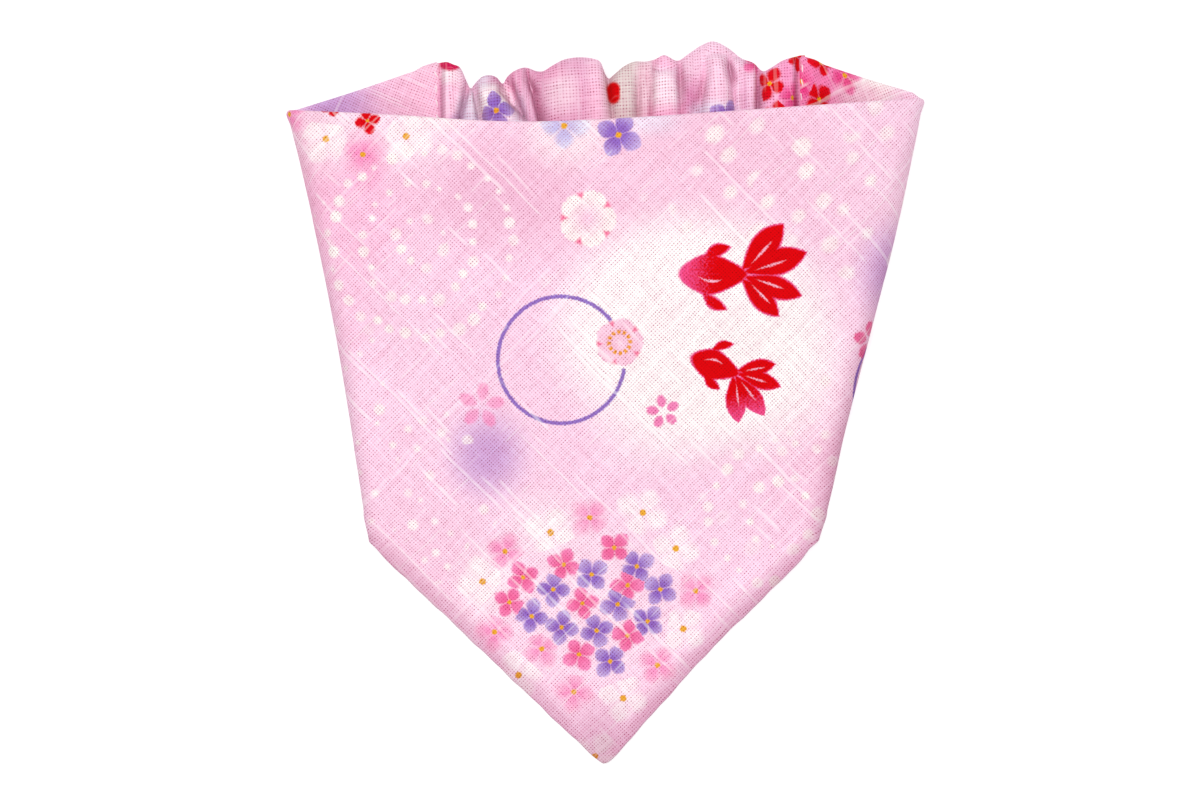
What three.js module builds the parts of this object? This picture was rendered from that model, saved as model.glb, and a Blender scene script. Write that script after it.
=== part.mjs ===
// Pet bandana with a gathered elastic band, lying on its back.
// A square of cloth is folded on its diagonal into a double triangle. The fold is the neckline.
// The triangle's two wings turn behind along soft side folds, and a gathered tube of the same cloth
// joins their ends, so that the neckline and the tube close a loop for the neck.
// Millimetres. X runs across the front, Y from the point up to the neckline, Z up from the surface.
import * as THREE from "three";

// Driving sizes
const clothThickness = 1.7; // two layers, with the air and the seam allowances between them
const endThickness = 2.6; // the wing's end, where it holds the tube's mouth
const endFlare = 0.12; // the share of a wing over which it thickens towards its end
const wingRest = 0.29; // the share of a wing that rests flat, beside its side fold
const wingDrop = 1.2; // how much lower the lower corner of a wing's end lies than the upper one
const tipRound = 0.012; // how round the point is, as a share of the lower edge
const cornerRound = 0.9; // how far the lower end of a side fold is rounded off
const archPower = 2.5; // how flat the front is across its middle
const bandMiddle = 6.2; // the height of the elastic's line, and of the wings' ends
const bandRoundness = 0.86; // below 1 the tube's section is fuller than an ellipse
const gatherPower = 2.2; // how round a gather's crest is

// How finely each stretch is cut up
const steps = { wing: 7, roll: 4, front: 30, down: 26, around: 28 };
const gatherStep = 1.5; // the longest step along the tube

// Corners of the mid surface of the cloth in plan, for each side
const sides = {
  left: { inward: 1, neck: [-69.2, 62.5], hem: [-51.2, -31.6], endNeck: [-36.1, 73.3], endHem: [-35.8, 40.6] },
  right: { inward: -1, neck: [69.2, 65.1], hem: [46.6, -31.2], endNeck: [42.6, 74.9], endHem: [42.4, 45.6] },
};
const point = [0.3, -80.2]; // where the two lower edges would meet

// How far the edges leave the straight lines between those corners: a side fold to the right, at a share down from
// the neckline, and a lower edge upwards, at a share out from the point
const bows = [
  { at: 0, leftSide: 0, rightSide: 0, leftLower: 0, rightLower: 0 },
  { at: 0.12, leftSide: 0.65, rightSide: 0.35, leftLower: 0, rightLower: 0.8 },
  { at: 0.25, leftSide: 1.1, rightSide: 0.82, leftLower: 0, rightLower: 1.1 },
  { at: 0.5, leftSide: 1.35, rightSide: 0.5, leftLower: 0, rightLower: 1.5 },
  { at: 0.75, leftSide: 0.8, rightSide: 0, leftLower: 0, rightLower: 0.5 },
  { at: 0.88, leftSide: 0.32, rightSide: 0.22, leftLower: -0.1, rightLower: 0.05 },
  { at: 1, leftSide: 0, rightSide: 0, leftLower: 0, rightLower: 0 },
];

// The neckline hangs below the line between its corners
const neckline = [
  { along: 0, sag: 0 },
  { along: 0.15, sag: 1.9 },
  { along: 0.34, sag: 4.3 },
  { along: 0.5, sag: 4.3 },
  { along: 0.75, sag: 2.5 },
  { along: 1, sag: 0 },
];

// Heights of the cloth's mid surface, from the neckline (down 0) to the lower edges (down 1).
// fold is the outermost line of a side fold, upper and across the roll above it, middle the centre of the front.
const heights = [
  { down: 0, fold: 2.4, upper: 1.9, across: 2.2, middle: 20 },
  { down: 0.15, fold: 3.1, upper: 3.1, across: 3.9, middle: 20 },
  { down: 0.3, fold: 3.3, upper: 3.5, across: 4.4, middle: 17.9 },
  { down: 0.5, fold: 3.3, upper: 3.4, across: 4.4, middle: 10.6 },
  { down: 0.7, fold: 2.9, upper: 2.7, across: 3.6, middle: 4.6 },
  { down: 0.85, fold: 2.5, upper: 2, across: 2.6, middle: 1.8 },
  { down: 1, fold: 2.15, upper: 1.3, across: 1.6, middle: 0.85 },
];

// The tube's creases from left to right: where each crosses the upper edge, the front, the lower edge and the
// back, how high it stands on the upper edge, and how high its floor is in front.
const creases = [
  { top: -35.6, front: -35.6, low: -35.5, back: -35.5, rise: 16.0, floor: 7.7 },
  { top: -29.0, front: -26.2, low: -27.5, back: -29.5, rise: 10.6, floor: 7.4 },
  { top: -22.2, front: -19.6, low: -21.5, back: -20.0, rise: 12.4, floor: 6.9 },
  { top: -19.4, front: -14.0, low: -12.5, back: -14.5, rise: 14.3, floor: 7.2 },
  { top: 0.8, front: 2.8, low: 1.5, back: -1.0, rise: 11.4, floor: 6.8 },
  { top: 9.6, front: 7.0, low: 9.5, back: 8.0, rise: 15.7, floor: 7.9 },
  { top: 16.0, front: 18.9, low: 17.0, back: 19.5, rise: 15.6, floor: 6.9 },
  { top: 33.7, front: 31.0, low: 31.5, back: 30.0, rise: 13.2, floor: 7.0 },
  { top: 42.1, front: 42.1, low: 42.0, back: 42.0, rise: 14.6, floor: 7.7 },
];

// The gathers between them: how high each crest stands on the upper edge, and its height in front
const gathers = [
  { rise: 16.8, crest: 12.0 },
  { rise: 14.0, crest: 11.2 },
  { rise: 15.0, crest: 10.8 },
  { rise: 17.4, crest: 12.6 },
  { rise: 16.8, crest: 12.2 },
  { rise: 17.8, crest: 12.4 },
  { rise: 20.2, crest: 12.6 },
  { rise: 15.6, crest: 12.2 },
];
const lowerRise = 0.86; // how far the lower edge stands out, as a share of the upper one
const backCrest = 6.8; // how far the crests reach down from the elastic's line, flattened where they rest
const backFloor = 2.6; // how far the creases reach down from it

const mix = (a, b, share) => a + (b - a) * share;
const ease = (share) => share * share * (3 - 2 * share);

// The value of one column of a table at x, on a smooth curve through its rows
function fromTable(rows, key, column, x) {
  let i = 0;
  while (i < rows.length - 2 && rows[i + 1][key] < x) i++;
  const row = (k) => rows[Math.min(Math.max(k, 0), rows.length - 1)];
  const [before, from, to, after] = [row(i - 1), row(i), row(i + 1), row(i + 2)];
  const span = to[key] - from[key];
  const share = (x - from[key]) / span;
  const slope = (p, q) => ((q[column] - p[column]) / (q[key] - p[key] || 1)) * span;
  const [m0, m1] = [slope(before, to), slope(from, after)];
  const [s2, s3] = [share ** 2, share ** 3];
  return (
    (2 * s3 - 3 * s2 + 1) * from[column] + (s3 - 2 * s2 + share) * m0 + (3 * s2 - 2 * s3) * to[column] + (s3 - s2) * m1
  );
}

const height = (column, down) => fromTable(heights, "down", column, down);

// Where the front's neckline, lower edge and the cloth between them lie in plan. across runs from -1 to 1.
function frontPlan(across, down) {
  const along = (across + 1) / 2;
  const { left, right } = sides;
  const neckX = mix(left.neck[0], right.neck[0], along);
  const neckY = mix(left.neck[1], right.neck[1], along) - fromTable(neckline, "along", "sag", along);
  const [corner, lower] = across < 0 ? [left.hem, "leftLower"] : [right.hem, "rightLower"];
  const away = Math.min(Math.abs(across), 1);
  const hemX = mix(point[0], corner[0], away);
  const lift = fromTable(bows, "at", lower, away);
  const hemY = mix(point[1], corner[1], Math.hypot(away, tipRound * 2 * (1 - away))) + lift;
  const bow = mix(fromTable(bows, "at", "leftSide", down), fromTable(bows, "at", "rightSide", down), along);
  const atCorner = ease(Math.max((away - 0.93) / 0.07, 0)) * ease(Math.max((down - 0.93) / 0.07, 0));
  const inset = 0.45 * cornerRound * atCorner * Math.sign(across);
  return [mix(neckX, hemX, down) + bow - inset, mix(neckY, hemY, down) + cornerRound * atCorner];
}

// A point of the front, from the outermost line of one side fold to the other's
function frontPoint(across, down, roll = 1) {
  const [x, y] = frontPlan(across, down);
  const edge = height("fold", down) + height("upper", down) * roll;
  const rise = height("middle", down) - height("fold", down) - height("upper", down);
  return new THREE.Vector3(x, y, edge + rise * (1 - Math.abs(across) ** archPower));
}

const halfWidth = (down) => (frontPlan(1, down)[0] - frontPlan(-1, down)[0]) / 2;

// The roll of a side fold above its outermost line: angle 0 there, and a right angle where the front begins
function upperRoll(side, angle, down) {
  const across = 1 - (height("across", down) * (1 - Math.cos(angle))) / halfWidth(down);
  return frontPoint(-side.inward * across, down, Math.sin(angle));
}

// How high a wing's mid surface lies. out runs from its side fold, where it rests, to its end.
function wingHeight(out, down) {
  const lifted = Math.max((out - wingRest) / (1 - wingRest), 0);
  return mix(clothThickness / 2, bandMiddle - wingDrop * down, ease(lifted));
}

// The roll under the outermost line: angle 0 there, and a right angle where the wing begins
function lowerRoll(side, angle, down) {
  const [x, y] = frontPlan(-side.inward, down);
  const drop = height("fold", down) - wingHeight(0, down);
  const inset = drop * 1.1 * (1 - Math.cos(angle));
  return new THREE.Vector3(x + side.inward * inset, y, height("fold", down) - drop * Math.sin(angle));
}

// A point of a wing: straight lines from the roll's end to the wing's end
function wingPoint(side, out, down) {
  const start = lowerRoll(side, Math.PI / 2, down);
  const endX = mix(side.endNeck[0], side.endHem[0], down);
  const endY = mix(side.endNeck[1], side.endHem[1], down);
  return new THREE.Vector3(mix(start.x, endX, out), mix(start.y, endY, out), wingHeight(out, down));
}

const fractions = (count) => Array.from({ length: count + 1 }, (_, i) => i / count);

// The lines that run from the neckline to the lower edge, from the left wing's end to the right wing's
function clothColumns() {
  const half = (side) => [
    ...fractions(steps.wing).map((f) => ({ thick: f, place: (down) => wingPoint(side, 1 - f, down) })),
    ...fractions(steps.roll)
      .slice(1)
      .map((f) => ({ thick: 1, place: (down) => lowerRoll(side, ((1 - f) * Math.PI) / 2, down) })),
    ...fractions(steps.roll)
      .slice(1)
      .map((f) => ({ thick: 1, place: (down) => upperRoll(side, (f * Math.PI) / 2, down) })),
  ];
  const middle = fractions(steps.front)
    .slice(1, -1)
    .map((f) => {
      const across = 2 * f - 1;
      const place = (down) => {
        const reach = 1 - height("across", down) / halfWidth(down);
        return frontPoint(across * reach, down);
      };
      return { thick: 1, place };
    });
  return [...half(sides.left), ...middle, ...half(sides.right).reverse()];
}

// A closed skin through loops of points, one loop for each section, with its two ends closed.
// Each end is closed by strips across it, between a loop's first half and its second half.
function skin(loops) {
  const around = loops[0].length;
  const faces = [];
  const quad = (a, b, c, d) => faces.push(a, b, c, a, c, d);
  for (let i = 0; i < loops.length - 1; i++) {
    for (let k = 0; k < around; k++) {
      const next = (k + 1) % around;
      quad(i * around + k, i * around + next, (i + 1) * around + next, (i + 1) * around + k);
    }
  }
  const last = (loops.length - 1) * around;
  for (let k = 0; k < around / 2 - 1; k++) {
    const [near, far] = [around - 1 - k, around - 2 - k];
    quad(k, near, far, k + 1);
    quad(last + k, last + k + 1, last + far, last + near);
  }
  const geometry = new THREE.BufferGeometry().setFromPoints(loops.flat());
  geometry.setIndex(faces);
  geometry.computeVertexNormals();
  return geometry;
}

// The double cloth: its mid surface, thickened along its normals, with rounded edges
function clothGeometry() {
  const columns = clothColumns();
  const downs = fractions(steps.down);
  const middle = columns.map((column) => downs.map((down) => column.place(down)));
  const normal = (i, j) => {
    const [a, b] = [middle[Math.max(i - 1, 0)][j], middle[Math.min(i + 1, middle.length - 1)][j]];
    const [c, d] = [middle[i][Math.max(j - 1, 0)], middle[i][Math.min(j + 1, downs.length - 1)]];
    return new THREE.Vector3().subVectors(c, d).cross(new THREE.Vector3().subVectors(a, b)).normalize();
  };
  const share = columns.length - 1;
  const loops = columns.map((column, i) => {
    const fromEnd = Math.min(i, share - i) / steps.wing;
    const half = mix(endThickness, clothThickness, ease(Math.min(fromEnd / (endFlare * 2), 1))) / 2;
    const outer = downs.map((_, j) => middle[i][j].clone().addScaledVector(normal(i, j), half));
    const inner = downs.map((_, j) => middle[i][j].clone().addScaledVector(normal(i, j), -half));
    const rim = (j, inside) => {
      const out = new THREE.Vector3().subVectors(middle[i][j], middle[i][inside]).normalize();
      return middle[i][j].clone().addScaledVector(out, half);
    };
    const lastRow = downs.length - 1;
    return [rim(0, 1), ...outer, rim(lastRow, lastRow - 1), ...inner.reverse()];
  });
  return skin(loops);
}

// A crease's place along the tube at an angle round it, from its places on the four sides
function creaseAt(crease, angle) {
  const { top, front, low, back } = crease;
  return (
    (top + front + low + back) / 4 +
    ((top - low) / 2) * Math.cos(angle) +
    ((front - back) / 2) * Math.sin(angle) +
    ((top + low - front - back) / 4) * Math.cos(2 * angle)
  );
}

// The line of the elastic inside the tube: its Y at a place along X
function elasticLine(x) {
  const { left, right } = sides;
  const share = (x - left.endNeck[0]) / (right.endNeck[0] - left.endNeck[0]);
  const [fromY, toY] = [(left.endNeck[1] + left.endHem[1]) / 2, (right.endNeck[1] + right.endHem[1]) / 2];
  return mix(fromY, toY, share);
}

// A point of the tube: between two creases, part runs from 0 to 1, and angle turns from the upper edge to the front
function bandPoint(index, part, angle) {
  const [from, to, gather] = [creases[index], creases[index + 1], gathers[index]];
  const x = mix(creaseAt(from, angle), creaseAt(to, angle), part);
  const full = 1 - Math.abs(2 * part - 1) ** gatherPower;
  const rise = mix(mix(from.rise, to.rise, part), gather.rise, full);
  const inFront = mix(mix(from.floor, to.floor, part), gather.crest, full) - bandMiddle;
  const atEnd = (crease) => crease === creases[0] || crease === creases.at(-1);
  const floorBehind = mix(atEnd(from) ? 1.5 : backFloor, atEnd(to) ? 1.5 : backFloor, part);
  const behind = mix(floorBehind, backCrest, full);
  const [c, s] = [Math.cos(angle), Math.sin(angle)];
  const y = Math.sign(c) * Math.abs(c) ** bandRoundness * rise * (c > 0 ? 1 : lowerRise);
  const z = Math.sign(s) * Math.abs(s) ** bandRoundness * (s > 0 ? inFront : behind);
  return new THREE.Vector3(x, elasticLine(x) + y, Math.max(bandMiddle + z, 0));
}

// The gathered tube, one closed solid with its gathers
function bandGeometry() {
  const loops = [];
  gathers.forEach((_, index) => {
    const width = creases[index + 1].front - creases[index].front;
    const count = Math.max(5, Math.round(width / gatherStep));
    const parts = fractions(count).slice(index ? 1 : 0);
    parts.forEach((part) => {
      const turns = fractions(steps.around).slice(0, -1);
      loops.push(turns.map((turn) => bandPoint(index, part, turn * 2 * Math.PI)));
    });
  });
  return skin(loops);
}

const clothFinish = new THREE.MeshStandardMaterial({ color: 0xf7cfe2, roughness: 0.92, metalness: 0 });
const bandFinish = new THREE.MeshStandardMaterial({ color: 0xf3c3da, roughness: 0.92, metalness: 0 });

const cloth = new THREE.Mesh(clothGeometry(), clothFinish);
cloth.name = "bandana_cloth";
const band = new THREE.Mesh(bandGeometry(), bandFinish);
band.name = "neck_band";

const bandana = new THREE.Group();
bandana.add(cloth, band);

export default bandana;
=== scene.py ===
# Pet bandana of printed slub cotton with a gathered neck band, lying on its back
import math

import bpy
import numpy as np
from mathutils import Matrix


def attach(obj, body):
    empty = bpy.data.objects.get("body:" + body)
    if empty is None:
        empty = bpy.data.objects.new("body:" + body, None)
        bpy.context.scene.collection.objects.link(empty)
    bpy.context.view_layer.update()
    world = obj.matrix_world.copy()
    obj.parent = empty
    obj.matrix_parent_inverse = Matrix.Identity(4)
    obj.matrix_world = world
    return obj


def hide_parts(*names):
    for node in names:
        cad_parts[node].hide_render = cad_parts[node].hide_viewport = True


mm = 0.001
print("bandana: loading the frame")
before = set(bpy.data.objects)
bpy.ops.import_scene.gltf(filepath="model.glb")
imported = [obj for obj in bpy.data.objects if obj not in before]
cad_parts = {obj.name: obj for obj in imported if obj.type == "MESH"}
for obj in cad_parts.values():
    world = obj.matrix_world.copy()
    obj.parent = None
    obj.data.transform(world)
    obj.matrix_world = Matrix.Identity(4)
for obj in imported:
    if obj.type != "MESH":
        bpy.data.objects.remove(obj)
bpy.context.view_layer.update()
scene = bpy.context.scene
scene.view_settings.view_transform = "Standard"


# Small sums used by every piece

def mix(a, b, share):
    return a + (b - a) * share


# 0 at 0 and 1 at 1, flat at both ends: 3s^2 - 2s^3
def ease(share):
    share = np.clip(share, 0, 1)
    return share * share * (3 - 2 * share)


# A smooth curve through (place, value) rows: cubic pieces, each row's slope being that between its neighbours
def curveThrough(rows, place, column=1):
    rows = np.asarray(rows, float)
    places, values = rows[:, 0], rows[:, column]
    order = np.arange(len(places))
    before, after = np.maximum(order - 1, 0), np.minimum(order + 1, len(places) - 1)
    slopes = (values[after] - values[before]) / (places[after] - places[before])
    i = np.clip(np.searchsorted(places, place, side="right") - 1, 0, len(places) - 2)
    span = places[i + 1] - places[i]
    s = np.clip((place - places[i]) / span, 0, 1)
    return ((2 * s**3 - 3 * s**2 + 1) * values[i] + (s**3 - 2 * s**2 + s) * slopes[i] * span
            + (3 * s**2 - 2 * s**3) * values[i + 1] + (s**3 - s**2) * slopes[i + 1] * span)


# Even waves that never line up: a sum of sines in turning directions, from -1 to 1
def unevenness(x, y, length, seed, waves=5):
    draws = np.random.default_rng(seed)
    total = np.zeros(np.broadcast(x, y).shape)
    for turn, size, phase in draws.random((waves, 3)):
        angle = 2 * math.pi * turn
        reach = length * mix(0.6, 1.5, size)
        total += np.sin(2 * math.pi * ((x * math.cos(angle) + y * math.sin(angle)) / reach + phase))
    return total / waves


# Sizes of the folded cloth, in millimetres, as the solid has them
cloth = {
    "thickness": 1.15,        # two layers
    "hemThickness": 0.45,     # how much the seam allowances add along the lower edges
    "hemWidth": 7.0,
    "hemSoftness": 1.6,
    "foldThickness": 0.7,     # how much the soft fold adds along the neckline
    "foldWidth": 2.6,
    "endThickness": 0.9,      # how much a wing's turned end adds
    "endWidth": 6.0,
    "endSoftness": 2.5,
    "endRound": 0.9,          # the length over which its edge is rounded
    "settle": 0.22,           # how far the sheet lies under the solid's middle, to rest on the surface
    "archPower": 2.5,
    "tipRound": 0.012,
    "cornerRound": 0.4,       # how far the lower end of a side fold is rounded off upwards
    "cornerPull": 0.45,       # how much of that it also moves inwards
    "cornerFrom": 0.93,       # the share of the way to the corner at which that begins
    "rollInset": 1.1,         # width of the roll under a side fold, over its height
    "wingRest": 0.29,         # the share of a wing that lies on the surface
    "wingLevel": 0.85,        # how high it lies there
    "bandMiddle": 6.2,        # how high a wing's end is beside the neckline
    "wingDrop": 1.2,          # how much lower it is at the wing's lower corner
    "wrinkles": 0.16,         # the cloth's general unevenness
    "puckers": 0.1,           # the small waves along the seamed lower edges
}
steps = {"wing": 46, "roll": 12, "front": 170, "down": 124, "rim": 5}
innerShift = (400.0, 0.0)      # where the inner layer's pattern lies beside the outer one's
bandShift = (800.0, 0.0)       # and where the band's pattern lies
ground = 0.02                  # no point lies lower than this

# Corners of each side: on the side fold at the neckline and the lower edge, and at the wing's end.
# rise is how far the wing's upper edge climbs as it comes out of the fold
sides = {
    "left": {
        "inward": 1, "neck": (-69.0, 62.5), "hem": (-51.2, -31.6),
        "endNeck": (-36.1, 72.6), "endHem": (-35.8, 40.6), "rise": 0.3,
    },
    "right": {
        "inward": -1, "neck": (69.4, 65.1), "hem": (46.6, -31.2),
        "endNeck": (42.6, 73.9), "endHem": (42.4, 45.6), "rise": 1.4,
    },
}
point = (0.3, -80.8)

# How far the edges leave the straight lines between those corners: share along, then the left and the right
# side fold to the right, down from the neckline, and the left and the right lower edge upwards, from the point
bows = [
    (0, 0, 0, 0, 0),
    (0.12, 0.65, 0.35, 0, 0.8),
    (0.25, 1.1, 0.82, 0, 1.1),
    (0.5, 1.35, 0.5, 0, 1.5),
    (0.75, 0.8, 0, 0, 0.5),
    (0.88, 0.32, 0.22, -0.1, 0.05),
    (1, 0, 0, 0, 0),
]

# The neckline's sag below the straight line between its corners: share along, sag
neckline = [(0, 0), (0.15, 1.9), (0.34, 4.3), (0.5, 4.3), (0.75, 2.5), (1, 0)]

# Share down from the neckline, height of the side fold, height and width of the roll above it, and height of
# the front's middle
heights = [
    (0, 2.4, 1.9, 2.2, 20),
    (0.15, 3.1, 3.1, 3.9, 20),
    (0.3, 3.3, 3.5, 4.4, 17.9),
    (0.5, 3.3, 3.4, 4.4, 10.6),
    (0.7, 2.9, 2.7, 3.6, 4.6),
    (0.85, 2.5, 2, 2.6, 1.8),
    (1, 2.15, 1.3, 1.6, 0.85),
]
foldColumn, upperColumn, acrossColumn, middleColumn = 1, 2, 3, 4


def height(column, down):
    return curveThrough(heights, down, column)


# Where the front lies in plan: across runs from -1 to 1, down from the neckline to the lower edges
def frontPlan(across, down):
    along = (across + 1) / 2
    left, right = sides["left"], sides["right"]
    neckX = mix(left["neck"][0], right["neck"][0], along)
    neckY = mix(left["neck"][1], right["neck"][1], along) - curveThrough(neckline, along)
    away = np.minimum(np.abs(across), 1)
    cornerX = np.where(across < 0, left["hem"][0], right["hem"][0])
    cornerY = np.where(across < 0, left["hem"][1], right["hem"][1])
    hemX = mix(point[0], cornerX, away)
    lift = np.where(across < 0, curveThrough(bows, away, 3), curveThrough(bows, away, 4))
    hemY = mix(point[1], cornerY, np.hypot(away, cloth["tipRound"] * 2 * (1 - away))) + lift
    bow = mix(curveThrough(bows, down, 1), curveThrough(bows, down, 2), along)
    start = cloth["cornerFrom"]
    atCorner = cloth["cornerRound"] * ease((away - start) / (1 - start)) * ease((down - start) / (1 - start))
    x = mix(neckX, hemX, down) + bow - cloth["cornerPull"] * atCorner * np.sign(across)
    return x, mix(neckY, hemY, down) + atCorner


# The front is an arch, 1 - |across|^power, over the tops of the two side rolls
def frontPoint(across, down, roll=1.0):
    x, y = frontPlan(across, down)
    edge = height(foldColumn, down) + height(upperColumn, down) * roll
    rise = height(middleColumn, down) - height(foldColumn, down) - height(upperColumn, down)
    z = edge + rise * (1 - np.abs(across) ** cloth["archPower"])
    return np.stack(np.broadcast_arrays(x, y, z), -1)


def halfWidth(down):
    one = np.ones_like(down)
    return (frontPlan(one, down)[0] - frontPlan(-one, down)[0]) / 2


# A quarter of an ellipse above the fold's outermost line
def upperRoll(side, angle, down):
    across = 1 - height(acrossColumn, down) * (1 - np.cos(angle)) / halfWidth(down)
    return frontPoint(-side["inward"] * across, down, np.sin(angle))


# The wing rests on the surface, then climbs to the neck band
def wingHeight(out, down):
    lifted = (out - cloth["wingRest"]) / (1 - cloth["wingRest"])
    return mix(cloth["wingLevel"], cloth["bandMiddle"] - cloth["wingDrop"] * down, ease(lifted))


# A quarter of an ellipse under that line, down to the wing
def lowerRoll(side, angle, down):
    x, y = frontPlan(np.full_like(down, -side["inward"]), down)
    fold = height(foldColumn, down)
    drop = fold - wingHeight(0.0, down)
    inset = drop * cloth["rollInset"] * (1 - np.cos(angle))
    climb = side["rise"] * (1 - np.cos(angle)) * (1 - down) ** 3
    z = fold - drop * np.sin(angle)
    return np.stack(np.broadcast_arrays(x + side["inward"] * inset, y + climb, z), -1)


# Straight lines from the roll's end to the wing's end
def wingPoint(side, out, down):
    start = lowerRoll(side, math.pi / 2 * np.ones_like(out), down)
    endX = mix(side["endNeck"][0], side["endHem"][0], down)
    endY = mix(side["endNeck"][1], side["endHem"][1], down)
    x, y = mix(start[..., 0], endX, out), mix(start[..., 1], endY, out)
    return np.stack(np.broadcast_arrays(x, y, wingHeight(out, down)), -1)


# The mid surface, column by column from the left wing's end to the right one's
def midSurface():
    down = (np.arange(steps["down"] + 1) / steps["down"])[None, :]
    wing = (1 - np.arange(steps["wing"] + 1) / steps["wing"])[:, None]
    roll = (np.arange(1, steps["roll"] + 1) / steps["roll"] * math.pi / 2)[:, None]
    halves = {}
    for name, side in sides.items():
        halves[name] = np.concatenate([
            wingPoint(side, wing, down),
            lowerRoll(side, math.pi / 2 - roll, down),
            upperRoll(side, roll, down),
        ])
    across = (2 * np.arange(1, steps["front"]) / steps["front"] - 1)[:, None]
    reach = 1 - height(acrossColumn, down) / halfWidth(down)
    return np.concatenate([halves["left"], frontPoint(across * reach, down), halves["right"][::-1]])


def unit(vectors):
    return vectors / np.maximum(np.linalg.norm(vectors, axis=-1, keepdims=True), 1e-12)


# The cloth's flat pattern: the front's plan, carried on past each side fold by unrolling the roll about the
# fold's line, and then by the wing's own plan, mirrored in that line
def flatPattern(middle):
    flat = middle[..., :2].copy()
    order, wingCount, rollCount = np.arange(len(middle)), steps["wing"] + 1, steps["roll"] * 2
    for name, side in sides.items():
        inwards = order if name == "left" else order[::-1]
        wing, roll = inwards[:wingCount], inwards[wingCount:wingCount + rollCount][::-1]
        fold = unit(np.array(side["hem"]) - np.array(side["neck"]))
        outward = np.array([fold[1], -fold[0]]) * side["inward"]
        move = np.diff(middle[np.append(roll, wing[-1])], axis=0)
        slide = move[..., :2] @ fold
        turned = np.sqrt(np.maximum((move ** 2).sum(-1) - slide ** 2, 0))
        shift = turned.cumsum(0)[..., None] * outward + slide.cumsum(0)[..., None] * fold
        edge = middle[roll[0], :, :2]
        flat[roll[1:]] = edge + shift[:-1]
        back = middle[wing][..., :2] - middle[wing[-1], :, :2]
        flat[wing] = edge + shift[-1] + back - 2 * (back @ outward)[..., None] * outward
    return flat


# Normals of a grid of points, from the differences along its two directions
def gridNormals(points):
    along, down = np.gradient(points, axis=0), np.gradient(points, axis=1)
    return -unit(np.cross(along, down))


def addObject(name, data):
    added = bpy.data.objects.new(name, data)
    scene.collection.objects.link(added)
    return added


# Puts loops of points into a closed mesh: a quad between each two neighbours, and strips across both ends.
# flat holds one more point for each loop than places, so that the pattern doesn't jump where a loop closes.
# Where layers is 1, the pattern is moved aside by layerShift
def closedSkin(name, places, flat, layers, layerShift):
    count, around = places.shape[:2]
    i, k = np.meshgrid(np.arange(count - 1), np.arange(around), indexing="ij")
    after, low, high = (k + 1) % around, i * around, (i + 1) * around
    quads = np.stack([low + k, low + after, high + after, high + k], -1)
    shift = (layers[:, None] * np.asarray(layerShift))[k]
    cornerFlat = np.stack([flat[i, k] + shift, flat[i, k + 1] + shift,
                           flat[i + 1, k + 1] + shift, flat[i + 1, k] + shift], -2)
    j = np.arange(around // 2 - 1)
    near, far = around - 1 - j, around - 2 - j
    firstCap, lastCap = np.stack([j, near, far, j + 1], -1), np.stack([j, j + 1, far, near], -1)
    quads = np.concatenate([quads.reshape(-1, 4), firstCap, (count - 1) * around + lastCap])
    cornerFlat = np.concatenate([cornerFlat.reshape(-1, 4, 2), flat[0][firstCap], flat[-1][lastCap]])
    mesh = bpy.data.meshes.new(name)
    mesh.vertices.add(count * around)
    mesh.vertices.foreach_set("co", (places.reshape(-1, 3) * mm).ravel())
    mesh.loops.add(len(quads) * 4)
    mesh.loops.foreach_set("vertex_index", quads.ravel())
    mesh.polygons.add(len(quads))
    mesh.polygons.foreach_set("loop_start", np.arange(len(quads)) * 4)
    mesh.update(calc_edges=True)
    mesh.uv_layers.new(name="flat").data.foreach_set("uv", cornerFlat.reshape(-1))
    mesh.polygons.foreach_set("use_smooth", np.ones(len(quads), bool))
    mesh.validate()
    return addObject(name, mesh)


# Soft creases drawn on a surface. Each is a bent stroke from one end over a middle point to the other;
# the surface moves by depth times a bell of the distance to it, fading towards both ends
def strokes(x, y, rows):
    moved = np.zeros(np.broadcast(x, y).shape)
    t = np.linspace(0, 1, 17)
    for x0, y0, x1, y1, x2, y2, width, depth in rows:
        lineX = (1 - t)**2 * x0 + 2 * t * (1 - t) * x1 + t**2 * x2
        lineY = (1 - t)**2 * y0 + 2 * t * (1 - t) * y1 + t**2 * y2
        away = (x[..., None] - lineX)**2 + (y[..., None] - lineY)**2
        nearest = away.argmin(-1)
        fade = np.sin(math.pi * np.clip(t[nearest], 0.02, 0.98)) ** 0.5
        moved += depth * fade * np.exp(-np.take_along_axis(away, nearest[..., None], -1)[..., 0] / width**2)
    return moved


# Creases of the front and the wings: three points in plan, width and depth, all in millimetres
frontCreases = [
    (-66, 58, -50, 40, -44, 14, 3.2, 0.35),
    (-20, 58, -12, 46, 4, 38, 3.5, -0.3),
    (8, 57, 20, 44, 40, 30, 4.0, 0.3),
    (64, 60, 54, 40, 50, 20, 3.4, 0.35),
    (-50, -24, -30, -20, -14, -34, 4.0, 0.3),
    (44, -26, 30, -18, 14, -28, 3.8, 0.28),
    (-8, -58, -2, -66, 0, -76, 2.8, 0.25),
    (-58, 20, -40, 6, -34, -16, 4.5, -0.25),
    (60, 10, 40, 0, 30, -14, 4.5, -0.28),
]
wingCreases = [
    (-60, 64, -50, 66, -37, 66, 2.2, 0.4),
    (-58, 62, -46, 58, -37, 55, 2.4, -0.35),
    (-44, 72, -41, 64, -37, 60, 1.3, 0.3),
    (60, 66, 52, 68, 44, 67, 2.2, 0.4),
    (58, 63, 50, 60, 44, 56, 2.4, -0.35),
    (50, 73, 47, 66, 44, 62, 1.2, 0.35),
]


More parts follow.
